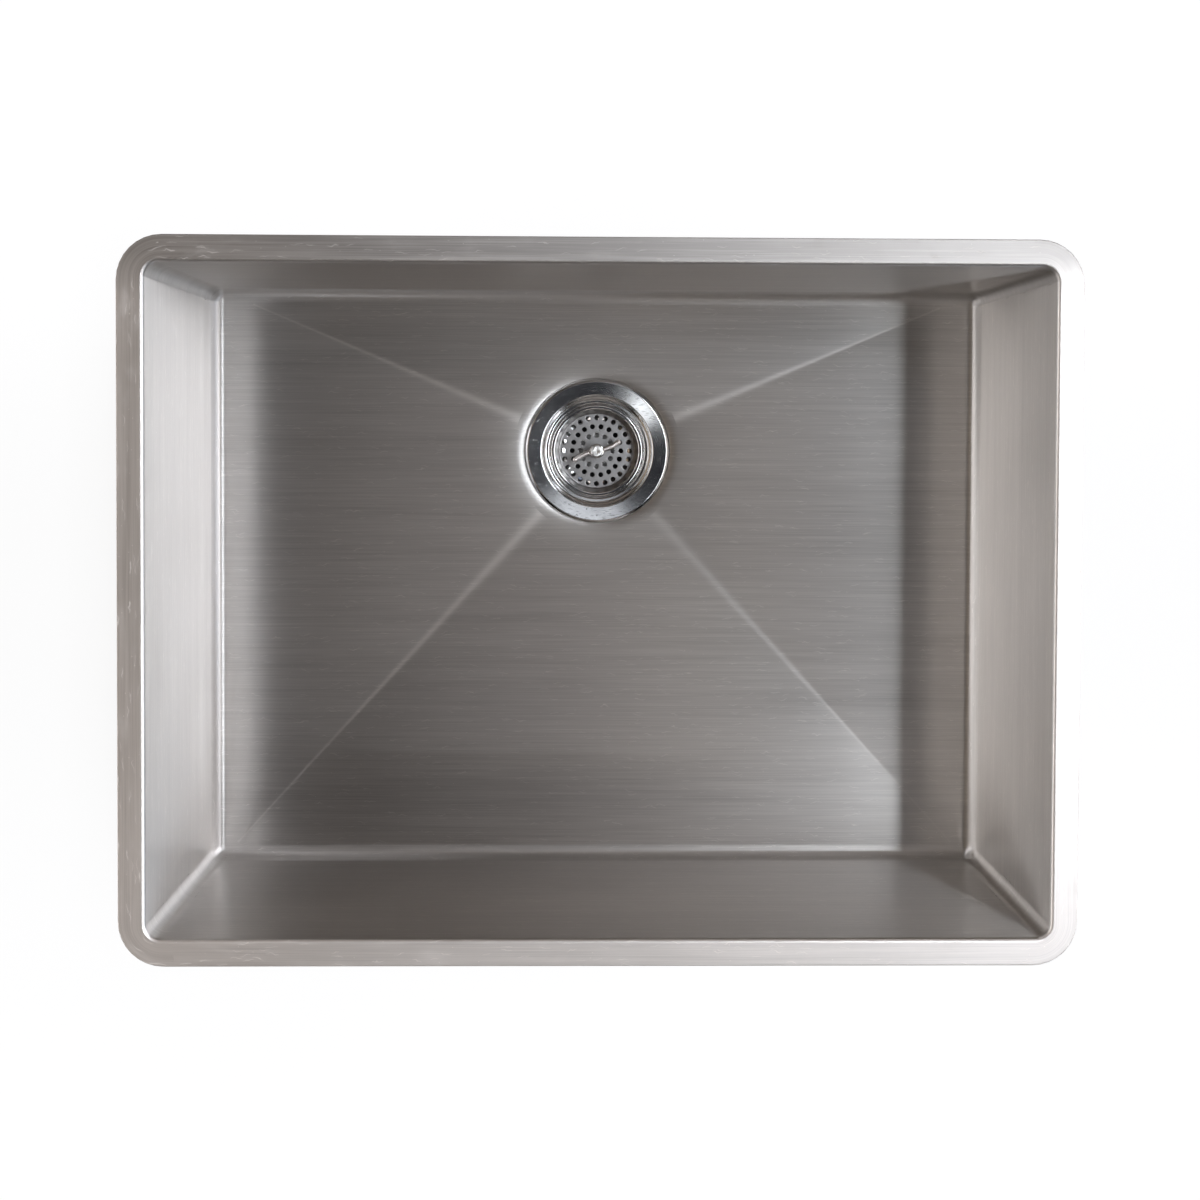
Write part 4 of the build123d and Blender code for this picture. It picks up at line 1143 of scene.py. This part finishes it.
def add_arm(shape, turn):
    """One arm as rings of points along a circular arc from the eye's middle to the ball."""
    bend_r = ARM_REACH / (2 * sin(BEND_ANGLE))
    length = 2 * BEND_ANGLE * bend_r
    middle = (EYE_FOOT + EYE_TOP) / 2
    around = 24
    stations = [(length * i / 24, ARM_R) for i in range(23)]
    over_ball = [radians(-28 + 13 * i) for i in range(10)]
    stations += [(length + BALL_R * sin(over), BALL_R * cos(over)) for over in over_ball]
    start = CHORD_ANGLE - BEND_ANGLE
    rings = []
    for reached, radius in stations:
        angle = start + reached / bend_r
        place = Vector((sin(angle) - sin(start), cos(start) - cos(angle), 0)) * bend_r
        side = Vector((-sin(angle), cos(angle), 0))
        ring = []
        for k in range(around):
            round_angle = 2 * pi * k / around
            p = place + (side * cos(round_angle) + Vector((0, 0, sin(round_angle)))) * radius
            p = Matrix.Rotation(turn, 3, "Z") @ p + Vector((0, 0, middle))
            ring.append(shape.verts.new(DRAIN + p * mm))
        rings.append(ring)
    for ring, after in zip(rings, rings[1:]):
        for k in range(around):
            beside = (k + 1) % around
            shape.faces.new((ring[k], after[k], after[beside], ring[beside]))
    shape.faces.new(rings[0])
    shape.faces.new(rings[-1][::-1])


handle_steel = polished_steel("polished_handle", (0.80, 0.78, 0.76), 0.10, 0.06, 0.004 * mm)
arm_steel = polished_steel("worn_handle", (0.92, 0.87, 0.84), 0.33, 0.06, 0.004 * mm)
handle_shape = turned([
    (2.2, EYE_FOOT), (EYE_FACE_R, EYE_FOOT), (5.6, EYE_FOOT + 0.25), (EYE_R, EYE_FOOT + 0.8),
    (EYE_R, EYE_TOP - 0.8), (5.6, EYE_TOP - 0.25), (EYE_FACE_R, EYE_TOP), (2.2, EYE_TOP),
])
for turn in (0, pi):
    add_arm(handle_shape, turn)
bmesh.ops.recalc_face_normals(handle_shape, faces=handle_shape.faces)
handle = finished("handle_casting", handle_shape, [handle_steel, arm_steel])
blending = handle.modifiers.new("blending", "REMESH")
blending.mode = "VOXEL"
blending.voxel_size = 0.2 * mm
easing = handle.modifiers.new("easing", "SMOOTH")
easing.iterations = 6
plain_copy(handle)
for polygon in handle.data.polygons:
    place = (polygon.center - DRAIN) / mm
    polygon.use_smooth = True
    polygon.material_index = int(hypot(place.x, place.y) > EYE_R + 0.4)
fitted(handle, "plug", "handle")

cap_steel = plain_metal("cap_steel", (0.88, 0.87, 0.85), 0.34)
softened("cap_screw", "plug", cap_steel, 0.15 * mm)

# --------------------------------------------------------------------------------------------------
# The plug
# A round steel spindle through the bush carries a black rubber disc between two stamped steel plates, with a
# nut under them.
SPINDLE_FOOT = -51.75
STOPPER_TOP, STOPPER_FOOT, STOPPER_R = -41.75, -45.75, 24.4
PLATE = 1

turned_piece("turned_spindle", "plug", "spindle", stamped_steel, [
    (0, EYE_FOOT), (0, SPINDLE_FOOT), (SPINDLE_R - 0.6, SPINDLE_FOOT), (SPINDLE_R, SPINDLE_FOOT + 0.6),
    (SPINDLE_R, EYE_FOOT),
], 0.2)
turned_piece("rubber_stopper", "plug", "stopper", seal_rubber, [
    (SPINDLE_HOLE_R, STOPPER_TOP), (STOPPER_R - 1.2, STOPPER_TOP), (STOPPER_R, STOPPER_TOP - 1.2),
    (STOPPER_R, STOPPER_FOOT), (SPINDLE_HOLE_R, STOPPER_FOOT),
], 0.4)


def stamped_plate(name, node, plate_r, foot):
    """One of the two steel plates that clamp the stopper."""
    turned_piece(name, "plug", node, stamped_steel, [
        (SPINDLE_HOLE_R, foot + PLATE), (plate_r, foot + PLATE), (plate_r, foot), (SPINDLE_HOLE_R, foot),
    ])


stamped_plate("top_plate", "stopper_top_plate", 15, STOPPER_TOP)
stamped_plate("lower_plate", "stopper_lower_plate", 12, STOPPER_FOOT - PLATE)
softened("stopper_nut", "plug", stamped_steel, 0.3 * mm)

# --------------------------------------------------------------------------------------------------
# Camera, floor and light
# The camera looks almost straight down from above the drain, its lens shifted to the middle of the bowl. The
# sink stands on white paper under a studio of soft boxes, which stay out of the picture.
camera_data = bpy.data.cameras.new("camera")
camera_data.lens = 47.04
camera_data.sensor_width = 36
camera_data.shift_y = -0.1066
camera = bpy.data.objects.new("camera", camera_data)
camera.location = (-0.0198, 0.1127, 1.031)
camera.rotation_euler = (radians(-1.45), radians(-1.02), radians(0.25))
bpy.context.scene.collection.objects.link(camera)
bpy.context.scene.camera = camera

# The studio's soft boxes: name, left, right, front and back edges as slopes from straight up, softness of the
# edges, colour and strength of the light.
SOFT_BOXES = (
    ("key, back half", 0.285, 0.335, 0.04, 0.26, 0.01, (32.0, 34.0, 36.0)),
    ("key, front half", 0.285, 0.335, -0.18, 0.04, 0.01, (21.0, 22.0, 23.0)),
    ("right bank", 0.335, 0.45, -0.40, 0.40, 0.02, (7.6, 8.0, 8.6)),
    ("right wall", 0.75, 1.30, -0.40, 0.40, 0.10, (1.5, 1.3, 1.1)),
    ("right window, front", 1.30, 2.50, -1.50, 0.00, 0.10, (3.0, 3.2, 3.6)),
    ("right window, back", 1.30, 2.50, 0.00, 1.50, 0.10, (7.6, 7.7, 8.3)),
    ("right horizon", 2.50, 8.00, -4.00, 4.00, 0.20, (1.6, 1.8, 2.0)),
    ("left bank", -0.75, -0.30, -0.40, 0.40, 0.05, (0.5, 0.4, 0.3)),
    ("left window", -2.50, -1.30, -1.50, 1.50, 0.10, (4.3, 4.2, 4.2)),
    ("front panel, left", -0.09, 0.03, -0.40, -0.25, 0.03, (0.35, 0.32, 0.30)),
    ("front panel, right", 0.03, 0.13, -0.40, -0.25, 0.03, (1.12, 1.0, 0.9)),
    ("front tube", -0.15, 0.15, -0.425, -0.405, 0.008, (4.5, 4.35, 4.35)),
    ("front horizon", -0.80, 0.80, -3.00, -1.60, 0.20, (0.45, 0.40, 0.37)),
    ("front wall", -0.45, 0.45, -1.00, -0.55, 0.05, (0.34, 0.31, 0.29)),
    ("back panel, left", -0.09, 0.03, 0.25, 0.40, 0.03, (0.43, 0.34, 0.31)),
    ("back panel, right", 0.03, 0.13, 0.25, 0.40, 0.03, (1.5, 1.4, 1.35)),
    ("back panel, end", 0.13, 0.26, 0.25, 0.40, 0.03, (0.3, 0.35, 0.45)),
    ("back wall", -0.45, 0.45, 0.40, 1.00, 0.05, (0.2, 0.17, 0.15)),
    ("back window", 0.00, 0.75, 1.00, 2.20, 0.05, (1.0, 0.97, 1.0)),
    ("back horizon", -2.50, 2.50, 2.20, 8.00, 0.20, (0.56, 0.48, 0.41)),
    ("ceiling", -0.30, 0.26, -0.25, 0.25, 0.05, (0.018, 0.019, 0.023)),
    ("ceiling lamp, back", -0.025, 0.09, 0.055, 0.105, 0.02, (1.05, 1.10, 1.18)),
    ("ceiling lamp, front", -0.083, -0.036, -0.105, -0.06, 0.012, (2.3, 2.4, 2.5)),
)
world = bpy.data.worlds.new("studio")
world.use_nodes = True
bpy.context.scene.world = world
sky = Nodes(world.node_tree)
east, north, up = sky.axes(sky.node("ShaderNodeTexCoord", None, None, "Generated"))
above = sky.math("MAXIMUM", up, 0.001)
across, ahead = east / above, north / above


def between(value, low, high, edge):
    """1 between two limits, falling to 0 over the edge's width."""
    return (value - (low - edge / 2)).rising(edge) * ((high + edge / 2) - value).rising(edge)


light = (0.0, 0.0, 0.0)
for name, left, right, front, back, edge, colour in SOFT_BOXES:
    share = between(across, left, right, edge) * between(ahead, front, back, edge) * up.above(0)
    box = sky.node("ShaderNodeVectorMath", {"operation": "SCALE", "label": name}, {0: colour, "Scale": share})
    light = sky.node("ShaderNodeVectorMath", {"operation": "ADD"}, {0: box, 1: light})
seen = sky.node("ShaderNodeLightPath", None, None, "Is Camera Ray")
shown = sky.mixed(seen, light, (1.0, 1.0, 1.0))
sky.tree.links.new(shown.socket, sky.tree.nodes["Background"].inputs["Color"])

floor_mesh = bpy.data.meshes.new("studio_floor")
floor_z = cad_box[0][2]
floor_half = 6.0
ways = ((-1, -1), (1, -1), (1, 1), (-1, 1))
floor_mesh.from_pydata([(x * floor_half, y * floor_half, floor_z) for x, y in ways], [], [(0, 1, 2, 3)])
studio_floor = bpy.data.objects.new("studio_floor", floor_mesh)
bpy.context.scene.collection.objects.link(studio_floor)

PAPER_GLOW, PAPER_GLOW_SHARE = 1.03, 0.85

white_paper = bpy.data.materials.new("white_paper")
white_paper.use_nodes = True
paper = Nodes(white_paper.node_tree)
paper.tree.nodes.remove(paper.tree.nodes["Principled BSDF"])
rays = paper.node("ShaderNodeLightPath", None, None, "Is Camera Ray")
shown = paper.math("MAXIMUM", rays, rays.part("Is Glossy Ray")) * PAPER_GLOW_SHARE
lit = paper.node("ShaderNodeBsdfDiffuse", None, {"Color": (0.95, 0.95, 0.95, 1)})
glow = paper.node("ShaderNodeEmission", None, {"Strength": PAPER_GLOW})
both = paper.node("ShaderNodeMixShader", None, {0: shown, 1: lit, 2: glow})
paper.tree.links.new(both.socket, paper.tree.nodes["Material Output"].inputs["Surface"])
floor_mesh.materials.append(white_paper)

bpy.context.scene.view_settings.view_transform = "Standard"
